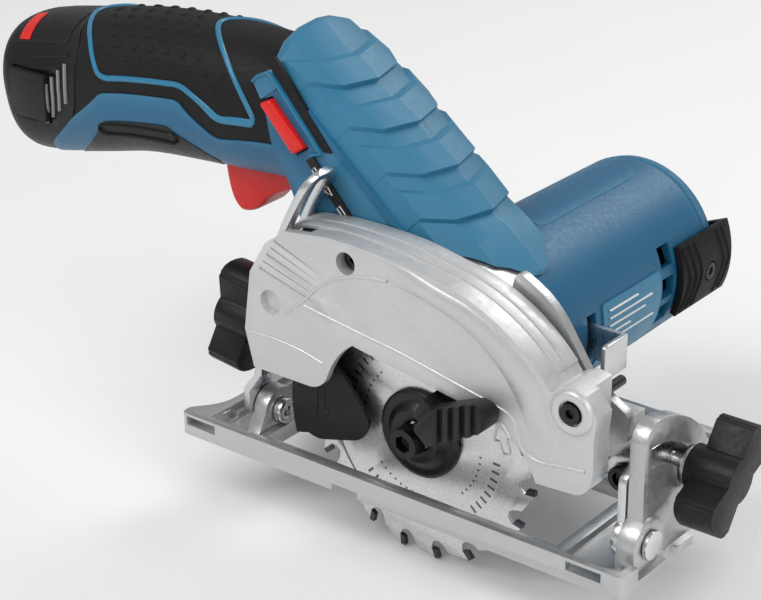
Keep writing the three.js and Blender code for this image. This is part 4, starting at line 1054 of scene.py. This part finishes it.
def guard_brow():
    """The rounded band between the upper guard's sunk panel and its outer edge."""
    steps = 50
    fade_in, fade_out = 9, 6  # steps over which the band rises at its two ends
    inside = resampled(BROW_INSIDE, steps)
    outside = resampled(BROW_OUTSIDE, steps)
    # The share of the way across the band, and the height there.
    section = [(0.0, -0.3), (0.0, 0.3), (0.06, 0.6), (0.3, 1.0), (0.55, 1.0), (0.78, 0.6),
               (0.93, 0.0), (1.0, -0.5)]
    shape = bmesh.new()
    rings = []
    for i, (near, far) in enumerate(zip(inside, outside)):
        fade = min(1.0, i / fade_in, (steps - i) / fade_out)
        ring = []
        for share, lift in section:
            at = Vector(near).lerp(Vector(far), share)
            height = lift * fade - 0.05 if lift > 0 else lift
            ring.append(shape.verts.new(guard_face(at.x, at.y, height)))
        rings.append(ring)
    for a, b in zip(rings, rings[1:]):
        for i in range(len(section) - 1):
            shape.faces.new((a[i], a[i + 1], b[i + 1], b[i]))
    piece("guard_brow", shape, "head", PAINTED, 45)


def guard_lips():
    """Two low steps round the upper guard's back edge."""
    top = [(-51, 73.6), (-43, 79), (-34.5, 80.4), (-26, 81.2), (-12, 81.2), (0, 80.4), (13.9, 77.9)]
    line = resampled(top, 30) + arc(GUARD, GUARD_RADIUS, 79, 41, 20)
    for name, height, near in (("wide", 0.3, -5.2), ("narrow", 0.7, -0.9)):
        outline = beside(line, height) + list(reversed(beside(line, -1.2)))
        lip = piece("guard_lip_" + name, slab(outline, near, 4.6), "head", PAINTED)
        rounded(lip, 0.2, 2, 40, 40)


def guard_relief():
    """The raised lines and lips of the upper guard, and the arrow on the lower guard."""
    guard_brow()
    guard_lips()
    brow = [(-44, 51.5), (-36.7, 57.5), (-30.2, 64), (-23.5, 68.6), (-14, 71.8), (-4, 73.2)]
    crease = [(-36, 56.4), (-18, 53.8), (0.7, 51.3), (20, 47.7), (37.1, 44.3), (41.3, 42.4), (43, 38),
              (45, 33.6), (50, 31.6), (58, 32.6), (66, 33.5)]
    corner = [(-58.4, 41.5), (-48, 41.6), (-38, 40.8), (-29, 38.9)]
    arrow = [(36.4, 41), (41, 35.6), (39.2, 35), (40.8, 30.6), (38, 29.8), (36.6, 33.9), (34.8, 33.2)]
    bead("guard_brow_line", brow, 0.9, 0.35, guard_face, PAINTED)
    bead("guard_crease", crease, 0.8, 0.35, guard_face, PAINTED)
    bead("guard_corner", corner, 0.7, 0.25, guard_face, PAINTED)
    bead("guard_arrow", arrow, 0.7, 0.4, guard_face, PAINTED, closed=True)
    cover_arrow = [(-33.8, 27), (-33.8, 19), (-31.6, 20.4), (-35.6, 13.6), (-38.6, 18.4),
                   (-36.6, 18.4), (-36.6, 26)]
    bead("cover_arrow", cover_arrow, 0.6, 0.3, lower_guard_face, GUARD_BLACK, BODY["lower_guard"],
         closed=True)
    rim = [(3.9, 0.5), (3.9, -0.9), (4.3, -1.2), (6.0, -1.2), (6.8, -0.6), (7.1, 0.5)]
    boss = turned(GUARD_SCREW, [(radius, GUARD_FACE + height) for radius, height in rim])
    piece("guard_boss_rim", boss, "head", PAINTED, 40)


# ---------- floor, lights and camera ----------
def camera():
    """The photograph's view: in front of the blade's side, to the right, and from above."""
    place = Vector((0.3621, -0.5175, 0.3407))
    back_turn, height, roll = math.radians(38.37), math.radians(24.787), math.radians(-0.525)
    flat = math.cos(height)
    back = Vector((math.sin(back_turn) * flat, -math.cos(back_turn) * flat, math.sin(height)))
    right = Vector((math.cos(back_turn), math.sin(back_turn), 0))
    up = back.cross(right)
    rolled_right = right * math.cos(roll) + up * math.sin(roll)
    rolled_up = up * math.cos(roll) - right * math.sin(roll)
    data = bpy.data.cameras.new("view")
    data.sensor_width = 36
    data.lens = 105.7
    made = bpy.data.objects.new("view", data)
    turn = Matrix((rolled_right, rolled_up, back)).transposed().to_4x4()
    made.matrix_world = Matrix.Translation(place) @ turn
    bpy.context.scene.collection.objects.link(made)
    bpy.context.scene.camera = made


def area_light(name, location, size, power, target=(-0.03, 0.0, 0.05)):
    data = bpy.data.lights.new(name, "AREA")
    data.shape = "DISK"
    data.size = size
    data.energy = power
    made = bpy.data.objects.new(name, data)
    made.location = location
    aim = Vector(target) - Vector(location)
    made.rotation_euler = aim.to_track_quat("-Z", "Y").to_euler()
    bpy.context.scene.collection.objects.link(made)


def floor():
    n = Nodes("floor")
    n.link(n.mix(n.noise(12, 2), (0.9, 0.9, 0.9), (0.93, 0.93, 0.93)), n.shader.inputs["Base Color"])
    n.shader.inputs["Roughness"].default_value = 0.7
    shape = bmesh.new()
    gap, half = 0.0004, 6
    low = cad_bounds[0][2] - gap
    corners = [(-half, -half), (half, -half), (half, half), (-half, half)]
    shape.faces.new([shape.verts.new((x, y, low)) for x, y in corners])
    mesh = bpy.data.meshes.new("floor")
    shape.to_mesh(mesh)
    shape.free()
    mesh.materials.append(n.material)
    made = bpy.data.objects.new("floor", mesh)
    bpy.context.scene.collection.objects.link(made)


def surroundings():
    world = bpy.data.worlds.new("studio")
    world.use_nodes = True
    sky = world.node_tree.nodes["Background"]
    sky.inputs["Color"].default_value = (1, 1, 1, 1)
    sky.inputs["Strength"].default_value = 0.42
    bpy.context.scene.world = world
    bpy.context.scene.view_settings.view_transform = "Standard"
    area_light("key", (-0.35, -0.75, 0.95), size=0.7, power=7)
    area_light("fill", (0.9, -0.35, 0.6), size=0.8, power=4)
    area_light("back", (0.1, 0.9, 0.9), size=0.7, power=5)


mechanics()
hood()
lower_body()
handle()
handle_trim()
battery()
barrel()
barrel_panels()
bumper_chevrons()
indicator()
carbide_tips()
guard_relief()
camera()
surroundings()
floor()
